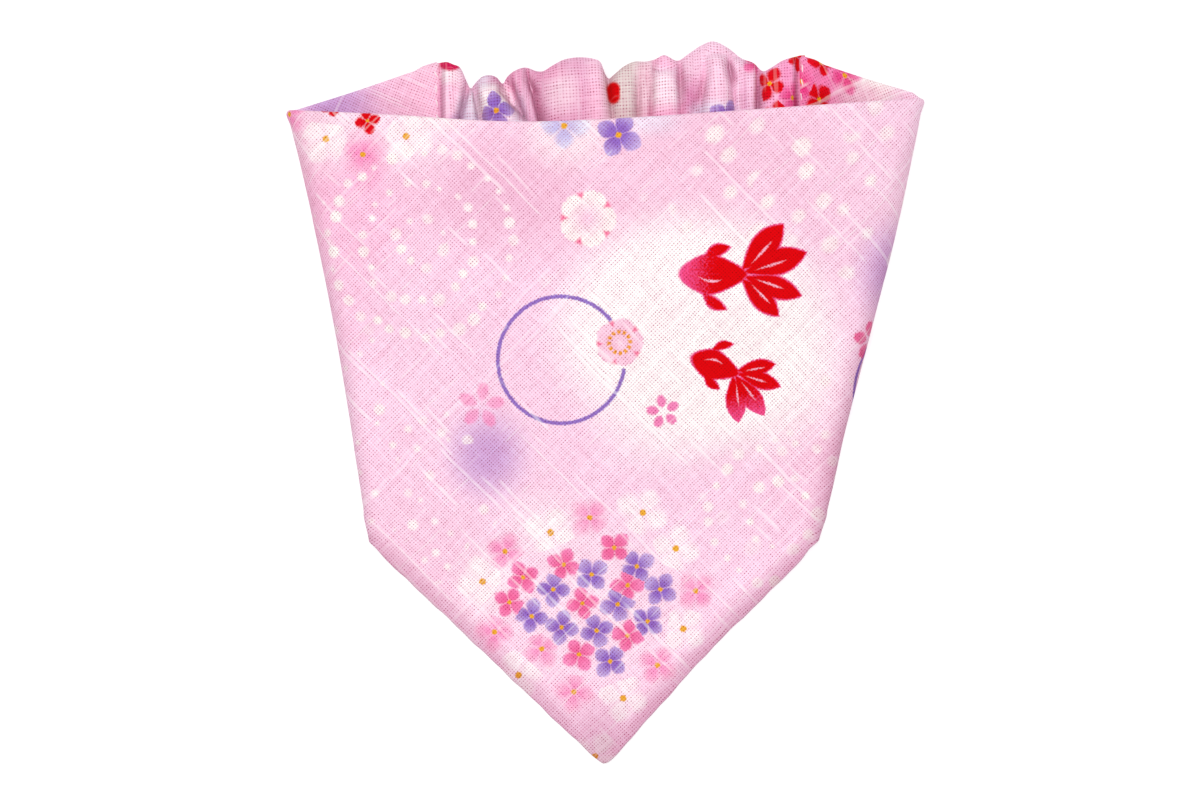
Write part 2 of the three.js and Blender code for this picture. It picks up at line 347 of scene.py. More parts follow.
# How far the creases and the cloth's unevenness move the mid surface along its normals
def clothCreases(middle):
    x, y = middle[..., 0], middle[..., 1]
    wingCount = steps["wing"] + 1
    isFront = np.zeros(middle.shape[:2])
    isFront[wingCount + steps["roll"]:-(wingCount + steps["roll"])] = 1
    raised = ease((middle[..., 2] - 1.0) / 3)
    lift = strokes(x, y, frontCreases) * isFront
    lift += cloth["wrinkles"] * unevenness(x, y, 24, 3, 7) * isFront * mix(0.35, 1, raised)
    lift += 0.4 * cloth["wrinkles"] * unevenness(x, y, 9, 8, 7) * isFront * mix(0.3, 1, raised)
    outwards = np.linspace(0, 1, wingCount)[:, None]
    for wing, out in ((slice(0, wingCount), outwards[::-1]), (slice(-wingCount, None), outwards)):
        free = ease((out - 0.3) / 0.5) * ease((1 - out) / 0.08)
        lift[wing] -= strokes(x[wing], y[wing], wingCreases) * free
        lift[wing] -= 0.25 * unevenness(x[wing], y[wing], 12, 5, 6) * free
    return lift


# Half the thickness: two layers, more along the seamed edges, the neckline's fold and the wings' turned ends
def clothHalf(middle):
    rowStep = np.linalg.norm(np.diff(middle, axis=1), axis=-1)
    fromNeck = np.concatenate([np.zeros((len(middle), 1)), rowStep.cumsum(1)], 1)
    fromHem = fromNeck[:, -1:] - fromNeck
    columnStep = np.linalg.norm(np.diff(middle, axis=0), axis=-1)
    fromLeft = np.concatenate([np.zeros((1, middle.shape[1])), columnStep.cumsum(0)])
    fromEnd = np.minimum(fromLeft, fromLeft[-1:] - fromLeft)
    half = cloth["thickness"] / 2 * np.ones(middle.shape[:2])
    half += cloth["hemThickness"] / 2 * ease((cloth["hemWidth"] - fromHem) / cloth["hemSoftness"])
    half += cloth["foldThickness"] / 2 * ease((cloth["foldWidth"] - fromNeck) / cloth["foldWidth"])
    half += cloth["endThickness"] / 2 * ease((cloth["endWidth"] - fromEnd) / cloth["endSoftness"])
    rounded = np.clip(fromEnd / cloth["endRound"], 0.04, 1)
    return half * np.sqrt(rounded * (2 - rounded))


# Round rims, in space and in the flat pattern: half circles past the neckline and past the lower edges, where
# small puckers stretch them
def clothRims(middle, flat, normals, half):
    alongHem = flat[:, -1, 0] + flat[:, -1, 1] * np.where(middle[:, -1, 0] < 0, -1, 1)
    pucker = cloth["puckers"] * (np.sin(alongHem / 2.9) + 0.7 * np.sin(alongHem / 1.31 + 2))
    angles = np.arange(1, steps["rim"] * 2) / (steps["rim"] * 2) * math.pi
    rims, rimFlats = {}, {}
    for name, row, inside in (("neck", 0, 1), ("hem", -1, -2)):
        outwards = unit(middle[:, row] - middle[:, inside])
        flatOut = unit(flat[:, row] - flat[:, inside])
        turned = angles if name == "hem" else angles[::-1]
        c, s = np.cos(turned)[None, :, None], np.sin(turned)[None, :, None]
        reach = half[:, row, None, None]
        stretched = 1.0 if name == "neck" else 1 + pucker[:, None, None] / np.maximum(reach, 0.3)
        bulge = normals[:, row, None] * c + outwards[:, None] * s * stretched
        rims[name] = middle[:, row, None] + reach * bulge
        away = np.minimum(turned, math.pi - turned)[None, :, None]
        rimFlats[name] = flat[:, row, None] + flatOut[:, None] * reach * away
    return rims, rimFlats


# Each loop starts in the middle of the neckline's rim, and runs over the outer layer, hem and inner layer
def clothLoops(rims, outer, inner):
    neck, split = rims["neck"], steps["rim"] - 1
    return np.concatenate([neck[:, split:], outer, rims["hem"], inner[:, ::-1], neck[:, :split]], 1)


def bandanaCloth():
    middle = midSurface()
    flat = flatPattern(middle)
    middle = middle + gridNormals(middle) * clothCreases(middle)[..., None]
    middle[..., 2] -= cloth["settle"]
    half, normals = clothHalf(middle), gridNormals(middle)
    rims, rimFlats = clothRims(middle, flat, normals, half)
    thick = normals * half[..., None]
    places = clothLoops(rims, middle + thick, middle - thick)
    places[..., 2] = np.maximum(places[..., 2], ground)
    pattern = clothLoops(rimFlats, flat, flat)
    outerCount = steps["rim"] + middle.shape[1] + steps["rim"] - 1
    layers = (np.arange(places.shape[1]) >= outerCount).astype(float)
    pattern = np.concatenate([pattern, pattern[:, :1]], 1)
    piece = closedSkin("printed_bandana", places, pattern, layers, innerShift)
    return piece, places, pattern, layers

# The gathered tube. Its upper edge as it shows past the neckline: x, y
topEdge = [
    (-36.6, 73.5), (-34.6, 73.7), (-33.2, 73.2), (-31.5, 72.3), (-30.1, 69.2), (-29.3, 67.9), (-28.4, 69.0),
    (-26.8, 70.5), (-25.0, 70.8), (-23.6, 70.3), (-22.3, 69.0), (-21.3, 70.5), (-19.6, 71.8), (-17.3, 72.5),
    (-14.9, 71.7), (-13.4, 71.7), (-11.6, 72.8), (-8.9, 74.2), (-5.4, 74.7), (-2.0, 74.3), (-0.8, 73.5),
    (0.1, 71.2), (0.9, 70.1), (1.9, 70.8), (4.3, 72.8), (6.6, 73.8), (9.0, 73.8), (11.0, 74.3),
    (13.1, 75.2), (15.9, 74.0), (18.4, 75.5), (21.1, 77.3), (23.8, 78.2), (27.0, 76.8), (30.0, 74.5),
    (32.6, 73.5), (34.6, 71.7), (36.2, 72.3), (39.0, 74.0), (42.8, 75.2),
]

# Its folds in front, from left to right: x and y of the upper end, x and y of the lower end, half widths to the
# left and right at the upper end and at the lower one, height of the crest, steepness on the left and right
folds = [
    (-33.2, 73.2, -34.4, 59.0, 3.2, 3.9, 2.0, 2.2, 11.4, 3.0, 4.5),
    (-29.3, 67.4, -29.5, 58.6, 0.4, 0.3, 3.4, 2.9, 9.6, 2.2, 3.6),
    (-25.7, 70.6, -24.8, 62.0, 3.4, 3.5, 3.4, 3.0, 8.9, 2.2, 2.4),
    (-25.2, 67.0, -20.2, 58.6, 2.7, 2.4, 6.2, 5.6, 11.9, 4.0, 3.4),
    (-19.4, 72.4, -15.0, 59.0, 2.1, 2.1, 1.8, 1.1, 11.0, 2.6, 4.2),
    (-7.6, 74.4, -6.0, 58.0, 10.6, 7.4, 7.8, 8.8, 12.7, 1.7, 6.0),
    (4.4, 73.2, 5.2, 58.0, 3.8, 4.4, 4.4, 2.4, 10.7, 2.4, 2.6),
    (9.0, 73.4, 8.6, 58.0, 2.4, 1.9, 2.2, 1.8, 9.8, 2.0, 3.0),
    (13.6, 74.6, 13.4, 67.0, 2.7, 2.6, 3.2, 3.6, 9.8, 2.4, 2.4),
    (13.4, 70.0, 13.6, 58.0, 3.1, 2.7, 4.0, 4.4, 11.8, 3.2, 3.0),
    (23.4, 77.6, 18.6, 62.0, 7.0, 6.4, 2.6, 3.0, 10.4, 2.0, 2.2),
    (24.2, 73.6, 25.2, 57.5, 2.6, 3.0, 4.9, 5.0, 12.9, 3.4, 2.6),
    (29.2, 72.6, 29.6, 58.0, 1.8, 1.8, 1.8, 1.8, 10.4, 2.0, 2.0),
    (31.6, 71.6, 31.6, 57.0, 2.2, 1.8, 1.9, 1.8, 10.8, 2.2, 3.6),
    (38.0, 74.0, 38.4, 57.0, 4.4, 4.6, 5.0, 4.6, 11.6, 3.2, 2.2),
]

# Small creases on them: three points in plan, width and depth
bandCreases = [
    (-22.2, 70.0, -20.6, 67.0, -19.6, 63.6, 0.9, -1.8),
    (-26.4, 65.6, -24.0, 64.0, -23.2, 60.0, 0.7, 0.5),
    (-23.0, 66.0, -20.6, 63.6, -17.6, 60.6, 0.7, -0.5),
    (-18.0, 71.8, -16.4, 68.0, -14.6, 66.0, 0.8, -1.4),
    (-14.0, 71.6, -13.0, 69.0, -9.0, 69.6, 1.3, 0.6),
    (-13.6, 66.4, -11.0, 66.6, -8.6, 70.8, 1.0, -0.45),
    (-12.4, 64.6, -10.6, 62.0, -12.6, 59.0, 1.4, 0.5),
    (-5.4, 73.6, -5.0, 67.0, -4.4, 59.0, 0.5, -0.4),
    (-4.1, 73.4, -3.8, 67.0, -3.2, 59.0, 0.5, 0.35),
    (-0.4, 71.4, 0.6, 66.0, 1.4, 60.0, 0.6, 0.3),
    (6.1, 73.4, 7.9, 68.6, 6.6, 60.4, 0.7, -0.8),
    (4.4, 72.6, 5.6, 68.6, 4.6, 62.4, 0.9, 0.45),
    (9.8, 72.8, 9.2, 70.8, 9.4, 67.4, 0.7, -0.9),
    (11.2, 71.4, 13.6, 72.8, 16.2, 72.4, 0.6, -1.1),
    (16.6, 73.2, 16.6, 71.0, 16.9, 67.6, 0.6, -1.0),
    (12.2, 67.6, 12.6, 64.0, 11.6, 60.6, 0.8, -0.35),
    (22.9, 74.2, 22.2, 69.0, 19.4, 62.4, 1.0, -1.7),
    (19.0, 73.0, 19.0, 68.4, 17.4, 64.0, 0.9, 0.6),
    (26.6, 73.6, 27.6, 71.4, 29.1, 68.2, 0.9, -1.9),
    (25.2, 72.6, 26.2, 70.0, 27.6, 66.0, 0.7, 0.5),
    (24.0, 66.0, 23.6, 63.0, 22.6, 60.0, 1.0, -0.4),
    (29.8, 72.4, 30.2, 68.0, 29.8, 62.0, 0.7, -0.4),
    (36.2, 72.0, 37.6, 69.0, 37.0, 62.0, 0.9, -0.4),
    (40.2, 74.4, 39.6, 70.0, 40.0, 64.0, 0.8, -0.4),
    (-31.8, 72.4, -32.4, 68.0, -33.0, 62.0, 0.9, -0.4),
    (-34.8, 72.4, -34.6, 68.0, -35.0, 62.0, 0.7, 0.3),
]

tube = {
    "columns": 400,
    "around": 168,
    "middle": 6.0,             # how high the elastic lies
    "floor": 7.0,              # how high the valleys between the folds lie in front
    "footDepth": 1.5,          # how far under them a fold's sides end
    "pillowPower": 0.6,
    "capDepth": 2.2,           # how far below its upper end a fold has its full height
    "crispness": 5.0,          # how sharply one fold's side meets the next one's
    "ripples": 0.18,
    "roundness": 0.62,
    "edgePower": 0.92,
    "lowerRise": 0.86,         # how far it spreads downwards, over how far upwards
    "backCrest": 7.0,
    "backFloor": 2.6,
    "backPower": 2.4,
    "endDepth": 0.85,
    "endDrop": 0.3,
    "endLength": 1.6,          # the length over which it opens out of a wing's end
    "tuck": 1.3,               # how far it goes into the wings' ends
}
backGathers = np.array([-35.6, -29.5, -20.0, -14.5, -1.0, 8.0, 19.5, 30.0, 42.1])


# The line of the elastic inside the tube
def elasticLine(x):
    left, right = sides["left"], sides["right"]
    share = (x - left["endNeck"][0]) / (right["endNeck"][0] - left["endNeck"][0])
    fromY = (left["endNeck"][1] + left["endHem"][1]) / 2
    toY = (right["endNeck"][1] + right["endHem"][1]) / 2
    return mix(fromY, toY, share)


# Height of the tube's front: each fold is a pillow, crest times (1 - u^steepness)^0.6, where u is the distance
# from its middle line over its half width, and the surface is the soft maximum of them all
def frontFolds(x, y):
    crispness, floor = tube["crispness"], tube["floor"]
    level = 12.0               # taken off before each power and added again, to keep them small
    total = np.exp(crispness * (floor - level)) * np.ones(np.broadcast(x, y).shape)
    for topX, topY, lowX, lowY, topLeft, topRight, lowLeft, lowRight, crest, steepLeft, steepRight in folds:
        share = np.clip((topY - y) / (topY - lowY), 0, 1.4)
        away = x - mix(topX, lowX, share)
        width = np.where(away < 0, mix(topLeft, lowLeft, share), mix(topRight, lowRight, share))
        u = np.clip(np.abs(away) / np.maximum(width, 0.2), 0, 1)
        pillow = (1 - u ** np.where(away < 0, steepLeft, steepRight)) ** tube["pillowPower"]
        cap = np.sqrt(1 - np.clip((y - topY) / tube["capDepth"], 0, 1) ** 2)
        total += np.exp(crispness * (mix(floor - tube["footDepth"], crest, pillow * cap) - level))
    return np.log(total) / crispness + level


# Depth of the tube's back: full between two gathers and shallow at each
def backDepth(x):
    i = np.clip(np.searchsorted(backGathers, x, side="right") - 1, 0, len(backGathers) - 2)
    part = np.clip((x - backGathers[i]) / (backGathers[i + 1] - backGathers[i]), 0, 1)
    return mix(tube["backFloor"], tube["backCrest"], 1 - np.abs(2 * part - 1) ** tube["backPower"])


# The tube's pattern: lengths measured along the cloth, across the folds in front and around the tube
def bandPattern(places):
    across = np.linalg.norm(np.diff(places[:, tube["around"] // 5], axis=0), axis=-1)
    u = np.concatenate([[0], across.cumsum()])[:, None]
    closed = np.concatenate([places, places[:, :1]], 1)
    around = np.linalg.norm(np.diff(closed, axis=1), axis=-1).cumsum(1)
    v = around[:, tube["around"] // 4][:, None] - np.concatenate([np.zeros((len(places), 1)), around], 1)
    return np.stack([u + 0 * v, v], -1) + np.asarray(bandShift)


def neckBand():
    startX, endX = sides["left"]["endNeck"][0] - tube["tuck"], sides["right"]["endNeck"][0] + tube["tuck"]
    x = np.linspace(startX, endX, tube["columns"] + 1)[:, None]
    angle = (np.arange(tube["around"]) / tube["around"] * 2 * math.pi)[None, :]
    c, s = np.cos(angle), np.sin(angle)
    line = elasticLine(x)
    rise = curveThrough(topEdge, x) - line
    # The lower edge isn't seen. It follows the upper one's waves, moved aside
    low = tube["lowerRise"] * (curveThrough(topEdge, np.clip(x * 0.94 + 1.3, startX, endX)) - line)
    y = line + np.sign(c) * np.abs(c) ** tube["edgePower"] * np.where(c > 0, rise, low)
    nearEnd = np.minimum(x - startX, endX - x)
    opened = ease((nearEnd - tube["tuck"]) / tube["endLength"])
    front = frontFolds(x + 0 * y, y) + strokes(x + 0 * y, y, bandCreases)
    front += tube["ripples"] * unevenness(x * 1.6, (y - line) * 0.5, 5, 21, 8)
    front = mix(tube["middle"] + tube["endDepth"], front, opened) - tube["middle"]
    behind = mix(tube["endDepth"], backDepth(x), opened)
    z = tube["middle"] + np.where(s > 0, front, -behind) * np.abs(s) ** tube["roundness"]
    z = np.maximum(z - tube["endDrop"] * (1 - opened), ground)
    places = np.stack(np.broadcast_arrays(x, y, z), -1)
    pattern = bandPattern(places)
    piece = closedSkin("gathered_band", places, pattern, np.zeros(tube["around"]), (0, 0))
    return piece, places, pattern


# The seam across each wing's end: separate stitches of pale thread, on both faces
seam = {
    "fromEnd": 1.2,
    "firstAt": 1.2,           # how far from the neckline the row starts, and 1 mm less from the hem it stops
    "pitch": 3.1,
    "length": 1.8,
    "thickness": 0.26,
    "slant": 0.5,
    "stand": 0.12,            # how high a stitch's middle lies over the cloth
    "sink": 0.2,              # how much lower its ends are
    "rings": 9,
    "around": 8,
}


# Puts rings of points into closed rods: quads between the rings and a face over each end
def closedRods(name, places):
    count, rings, around = places.shape[:3]
    k = np.arange(around)
    after = (k + 1) % around
    faces = []
    for start in range(0, count * rings * around, rings * around):
        for low in range(start, start + (rings - 1) * around, around):
            high = low + around
            faces += np.stack([low + k, low + after, high + after, high + k], -1).tolist()
        faces += [(start + k[::-1]).tolist(), (start + (rings - 1) * around + k).tolist()]
    mesh = bpy.data.meshes.new(name)
    mesh.from_pydata((places.reshape(-1, 3) * mm).tolist(), [], faces)
    mesh.shade_smooth()
    return addObject(name, mesh)


def seamStitches():
    draws = np.random.default_rng(14)
    middles, ways, tops = [], [], []
    around = clothPlaces.shape[1]
    outer = np.arange(steps["rim"] + 1, steps["rim"] + steps["down"])
    for end, near, far in ((0, 1, 2), (-1, -2, -3)):
        for rows, facing in ((outer, -1.0), (around - outer, 1.0)):
            first, second = clothPlaces[near, rows], clothPlaces[far, rows]
            begin = np.linalg.norm(first - clothPlaces[end, rows], axis=-1, keepdims=True)
            gap = np.linalg.norm(second - first, axis=-1, keepdims=True)
            path = mix(first, second, (seam["fromEnd"] - begin) / gap)
            along = np.concatenate([[0], np.linalg.norm(np.diff(path, axis=0), axis=-1).cumsum()])
            stops = np.arange(seam["firstAt"], along[-1] - 1.0, seam["pitch"])
            spots = np.stack([np.interp(stops, along, path[:, axis]) for axis in range(3)], -1)
            ahead = np.stack([np.interp(stops + 0.5, along, path[:, axis]) for axis in range(3)], -1)
            way = unit(ahead - spots)
            way[:, 0] += seam["slant"] * draws.normal(0.3, 0.4, len(way))
            middles.append(spots)
            ways.append(unit(way))
            tops.append(np.tile([0.0, 0.0, facing], (len(spots), 1)))
    middle, way, top = (np.concatenate(rows)[:, None, None] for rows in (middles, ways, tops))
    across = unit(np.cross(way, top))
    t = np.linspace(-1, 1, seam["rings"])[None, :, None, None]
    turn = (np.arange(seam["around"]) / seam["around"] * 2 * math.pi)[None, None, :, None]
    thick = seam["thickness"] / 2 * np.sqrt(1 - t ** 2 * 0.96)
    places = middle + way * t * seam["length"] / 2 + thick * (across * np.cos(turn) + top * np.sin(turn))
    places = places + top * (seam["stand"] - seam["sink"] * t ** 2)
    places[..., 2] = np.maximum(places[..., 2], ground)
    return closedRods("seam_stitches", places)


print("bandana: folding the cloth")
bandana, clothPlaces, clothFlat, clothLayers = bandanaCloth()
print("bandana: gathering the neck band")
band, bandPlaces, bandFlat = neckBand()
print("bandana: sewing the seams")
stitches = seamStitches()

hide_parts("bandana_cloth")
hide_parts("neck_band")
for piece in (bandana, band, stitches):
    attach(piece, "root")


# Dyes as they look in daylight, and tones of painted shade for edges and valleys: red, green and blue from 0 to
# 255
dyesAndShadeTones = {
    "pink": (252, 213, 235), "lilacPink": (246, 202, 224), "warmPink": (252, 186, 218),
    "rose": (240, 150, 190), "white": (254, 248, 247), "cream": (252, 242, 240), "greyCream": (220, 204, 200),
    "blushPink": (250, 200, 222), "palePink": (253, 200, 224), "softPink": (248, 140, 192),
    "hotPink": (234, 52, 132), "petalPink": (238, 92, 152), "snoutPink": (242, 84, 148),
    "rosyPink": (240, 112, 176), "notchPink": (246, 106, 150),
    # The first pink on this line is the tone of painted shade; magenta paints shade in the band's valleys
    "paintedShadePink": (214, 158, 186), "mauvePink": (234, 176, 205), "magenta": (205, 105, 160), "red": (220, 0, 8),
    "deepRed": (226, 10, 36), "crimson": (216, 20, 86), "lavender": (206, 162, 214), "purple": (146, 104, 194),
    "lightPurple": (206, 180, 228), "ringPurple": (140, 104, 192), "lilac": (186, 176, 228),
    "paleLilac": (236, 230, 246), "yellow": (236, 168, 0), "orange": (240, 160, 60),
}


def linear(name):
    value = np.asarray(dyesAndShadeTones[name]) / 255
    return np.where(value <= 0.04045, value / 12.92, ((value + 0.055) / 1.055) ** 2.4)


# Lays soft spots of colour one over another, dye and painted shade alike: x, y, half widths, softness of the
# edge, dye, strength.
# A spot's share is 1 inside 1 - softness of its half widths and 0 outside 1 + softness
def laidSpots(x, y, under, rows):
    colour = np.ones(x.shape + (3,)) * linear(under)
    for spotX, spotY, wide, high, soft, name, strength in rows:
        away = np.hypot((x - spotX) / wide, (y - spotY) / high)
        share = strength * ease((1 + soft - away) / (2 * soft))
        colour = mix(colour, linear(name), share[..., None])
    return colour


# How thickly small pale dots are strewn: x, y, radius of a loose ring, its width, strength
def strewn(x, y, rows):
    total = np.zeros(x.shape)
    for ringX, ringY, radius, wide, strength in rows:
        away = np.abs(np.hypot(x - ringX, y - ringY) - radius) / wide
        total = np.maximum(total, strength * ease(1.4 - away))
    return total


# Spots on the front: print dye, and the spots of painted shade marked below
frontDyeAndShade = [
    # A broad darker pink spot below the neckline's middle
    (10.0, 46.0, 48.0, 15.0, 0.6, "lilacPink", 0.8),
    # Painted shade: the shadow of a soft fold below the neckline
    (-23.0, 44.0, 14.0, 10.0, 0.8, "mauvePink", 0.6),
    (24.0, 57.0, 15.0, 6.0, 0.8, "mauvePink", 0.4),
    # Painted shade along the left lower edge, where the cloth turns down
    (-42.0, -37.0, 13.0, 15.0, 0.8, "lilacPink", 0.7),
    (22.0, 56.0, 26.0, 8.0, 0.7, "lilacPink", 0.5),
    (-66.0, 52.0, 7.0, 14.0, 0.7, "rose", 0.35),
    (-56.0, 42.0, 12.0, 12.0, 0.8, "warmPink", 0.6),
    (-58.0, 22.0, 9.0, 12.0, 0.8, "warmPink", 0.3),
    (45.0, -14.0, 12.0, 12.0, 0.8, "lilacPink", 0.6),
    (20.0, 15.0, 29.0, 24.0, 0.28, "white", 0.92),
    (34.0, 4.0, 16.0, 14.0, 0.5, "white", 0.6),
    (14.0, -8.0, 12.0, 7.0, 0.7, "white", 0.4),
    (-3.0, -44.5, 20.0, 17.0, 0.5, "white", 0.15),
    (-26.0, -41.0, 6.0, 7.0, 0.7, "cream", 0.35),
    (-13.0, -27.0, 8.0, 6.0, 0.7, "white", 0.3),
    (-25.7, -12.4, 7.0, 7.6, 0.75, "lavender", 0.9),
    (63.5, 27.5, 6.5, 8.5, 0.8, "lavender", 0.9),
    (-60.5, 57.0, 8.0, 7.0, 0.7, "white", 0.3),
    (-43.0, 57.5, 9.0, 8.0, 0.7, "white", 0.25),
    (-36.0, 61.0, 7.0, 3.0, 0.7, "cream", 0.5),
    (-52.0, 52.0, 4.2, 6.0, 0.6, "softPink", 0.5),
    (-8.0, 57.0, 7.5, 6.0, 0.7, "white", 0.5),
    (10.0, 60.0, 6.0, 3.0, 0.7, "paleLilac", 0.6),
]
frontDots = [
    (-44.0, -14.0, 9.0, 6.0, 0.75), (-38.0, -30.0, 5.0, 5.0, 0.7), (-29.0, -25.0, 3.0, 3.0, 0.5),
    (40.0, 0.0, 10.0, 4.0, 0.35), (-56.0, 10.0, 5.0, 6.0, 0.5), (-62.0, 44.0, 3.0, 5.0, 0.4),
]
frontPatches = [
    (36.0, 48.0, 14.0, 9.0, 0.9), (58.0, 44.0, 9.0, 9.0, 0.9), (54.0, 60.0, 8.0, 5.0, 0.8),
    (24.0, 54.0, 5.0, 6.0, 0.7),
]
innerDye = [
    (-58.0, 64.0, 9.0, 6.5, 0.5, "lavender", 0.95),
    (-49.0, 66.0, 5.0, 7.0, 0.7, "lavender", 0.35),
    (-44.0, 65.0, 9.0, 9.0, 0.7, "palePink", 0.8),
    (-37.0, 72.0, 4.0, 4.0, 0.7, "blushPink", 0.8),
    (48.0, 69.0, 9.0, 8.0, 0.4, "softPink", 0.85),
    (45.0, 70.0, 6.0, 6.0, 0.6, "hotPink", 0.35),
    (61.0, 69.0, 8.0, 6.0, 0.4, "greyCream", 0.55),
    (59.0, 69.0, 6.0, 5.0, 0.5, "cream", 0.8),
    (56.0, 66.0, 5.0, 3.0, 0.7, "blushPink", 0.8),
    (67.0, 66.0, 4.0, 4.0, 0.7, "pink", 0.8),
    (0.0, 0.0, 26.0, 24.0, 0.5, "white", 0.8),
    (-8.0, -48.0, 9.0, 9.0, 0.8, "lavender", 0.7),
]
wingDye = [
    (-52.0, 58.0, 12.0, 10.0, 0.6, "white", 0.7), (52.0, 40.0, 10.0, 14.0, 0.6, "white", 0.7),
    (-56.0, 18.0, 8.0, 8.0, 0.8, "lavender", 0.7), (52.0, 8.0, 8.0, 9.0, 0.7, "warmPink", 0.7),
]
# Spots on the band: print dye, and magenta spots of painted shade in the valleys and pockets between its folds
bandDyeAndShade = [
    (-35.0, 70.0, 3.0, 8.0, 0.6, "warmPink", 0.6),
    (-33.9, 70.4, 2.4, 1.8, 0.6, "white", 0.7),
    (-31.6, 60.9, 2.0, 1.4, 0.5, "purple", 0.6),
    (-26.8, 60.4, 0.8, 0.8, 0.5, "magenta", 0.8),
    (-32.0, 66.0, 2.6, 7.0, 0.7, "blushPink", 0.6),
    (-29.0, 63.0, 3.0, 4.0, 0.5, "paleLilac", 0.9),
    (-26.5, 70.0, 2.4, 2.6, 0.6, "paleLilac", 0.7),
    (-23.4, 69.0, 2.0, 4.0, 0.7, "magenta", 0.6),
    (-24.0, 64.5, 4.2, 4.0, 0.6, "white", 0.9),
    (-19.0, 70.0, 2.2, 4.0, 0.7, "rose", 0.8),
    (-17.6, 62.0, 3.0, 4.0, 0.7, "paleLilac", 0.7),
    (-15.4, 66.0, 1.4, 7.0, 0.7, "magenta", 0.5),
    (-9.6, 68.0, 9.4, 12.0, 0.4, "mauvePink", 1.0),
    (-1.6, 68.0, 2.0, 12.0, 0.5, "palePink", 0.7),
    (-9.4, 66.5, 3.4, 4.0, 0.7, "white", 0.35),
    (0.6, 62.0, 1.6, 10.0, 0.5, "blushPink", 0.6),
    (5.6, 68.0, 5.2, 12.0, 0.35, "greyCream", 0.92),
    (8.8, 68.0, 2.0, 10.0, 0.7, "blushPink", 0.6),
    (13.6, 67.0, 3.4, 4.4, 0.4, "white", 0.4),
    (13.4, 74.4, 3.0, 1.8, 0.4, "rose", 0.5),
    (-12.4, 71.4, 3.4, 2.0, 0.6, "rose", 0.4),
    (14.0, 60.0, 5.0, 3.6, 0.7, "softPink", 0.55),
    (19.6, 65.6, 2.2, 7.0, 0.6, "magenta", 0.8),
    (17.6, 73.0, 3.0, 4.0, 0.7, "lilacPink", 0.8),
    (24.0, 68.0, 4.0, 9.0, 0.7, "lilacPink", 0.75),
    (23.4, 62.4, 4.4, 2.4, 0.6, "paleLilac", 0.8),
    (31.6, 66.0, 2.4, 8.0, 0.7, "magenta", 0.2),
    (37.6, 69.0, 4.2, 8.0, 0.5, "softPink", 0.55),
    (41.0, 70.0, 2.6, 8.0, 0.5, "softPink", 0.6),
    (1.9, 67.5, 1.5, 1.7, 0.2, "red", 1.0),
    (2.0, 66.1, 1.4, 1.8, 0.2, "red", 1.0),
    (-33.7, 73.3, 2.5, 1.7, 0.2, "crimson", 1.0),
]


# Stores on a piece's points a colour of dye and painted shade, how thickly dots and patches are strewn, and how
# deep the painted shade is
def storeDyeAndShade(piece, colour, dots, patches, shade):
    opaque = np.concatenate([colour, np.ones(colour.shape[:-1] + (1,))], -1)
    attribute = piece.data.color_attributes.new(name="dyeAndShade", type="FLOAT_COLOR", domain="POINT")
    attribute.data.foreach_set("color", opaque.ravel())
    for name, values in (("dots", dots), ("patches", patches), ("shade", shade)):
        attribute = piece.data.attributes.new(name=name, type="FLOAT", domain="POINT")
        attribute.data.foreach_set("value", values.ravel())


# Shade where the cloth turns down towards its edges: how wide, and how strong at the neckline's end or the
# corner, and at the corner or the point
edgeShades = {
    "left": (4.5, 0.2, 0.35),
    "right": (7.0, 0.1, 0.9),
    "leftLower": (7.6, 0.75, 0.8),
    "rightLower": (9.0, 0.95, 0.95),
}
# The same around the point, and in the band's valleys: how far it reaches, over what length it grows, strength
pointShade = {"reach": 18, "growth": 16, "strength": 0.95}
valleyShade = {"start": 0.6, "growth": 3.4, "strength": 0.8, "halfWidth": 17.5, "crest": 5.6}


def edgeShade():
    x, y = clothPlaces[..., 0], clothPlaces[..., 1]
    first = steps["wing"] + steps["roll"]
    last = len(clothPlaces) - 1 - first
    hemRow = steps["rim"] + steps["down"] + steps["rim"]
    fromHem = np.linalg.norm(clothPlaces - clothPlaces[:, hemRow:hemRow + 1], axis=-1)
    low, out = ease((62 - y) / 93), ease(np.abs(x) / 48)
    places = {
        "left": (x - x[first], low),
        "right": (x[last] - x, low),
        "leftLower": (fromHem + 99 * (x > 0), 1 - out),
        "rightLower": (fromHem + 99 * (x < 0), 1 - out),
    }
    total = np.zeros(x.shape)
    for name, (away, end) in places.items():
        width, start, finish = edgeShades[name]
        total = np.maximum(total, mix(start, finish, end) * ease(1 - away / width))
    return total


def dyeAndShadeBandana():
    x, y = clothPlaces[..., 0], clothPlaces[..., 1]
    columns = np.arange(len(clothPlaces))
    behind = steps["wing"] + steps["roll"]
    isFront = (columns >= behind) & (columns < len(columns) - behind)
    isFront = np.broadcast_to(isFront[:, None], x.shape)
    isInner = np.broadcast_to(clothLayers[None, :] > 0.5, x.shape)
    isFace = isFront & ~isInner
    outer = np.where(isFront[..., None], laidSpots(x, y, "pink", frontDyeAndShade), laidSpots(x, y, "pink", wingDye))
    colour = np.where(isInner[..., None], laidSpots(x, y, "pink", innerDye), outer)
    toPoint = pointShade["reach"] - np.hypot(x, y + 80)
    atPoint = pointShade["strength"] * ease(toPoint / pointShade["growth"])
    # Painted shade towards the edges and around the point
    shade = np.maximum(edgeShade() * isFace, atPoint * isFront)
    dots = np.where(isFace, strewn(x, y, frontDots), 0.45)
    dots = np.where(isInner & ~isFront, 0.0, dots)
    patches = np.where(isFace, strewn(x, y, frontPatches), 0.0)
    storeDyeAndShade(bandana, colour, dots, patches, shade)


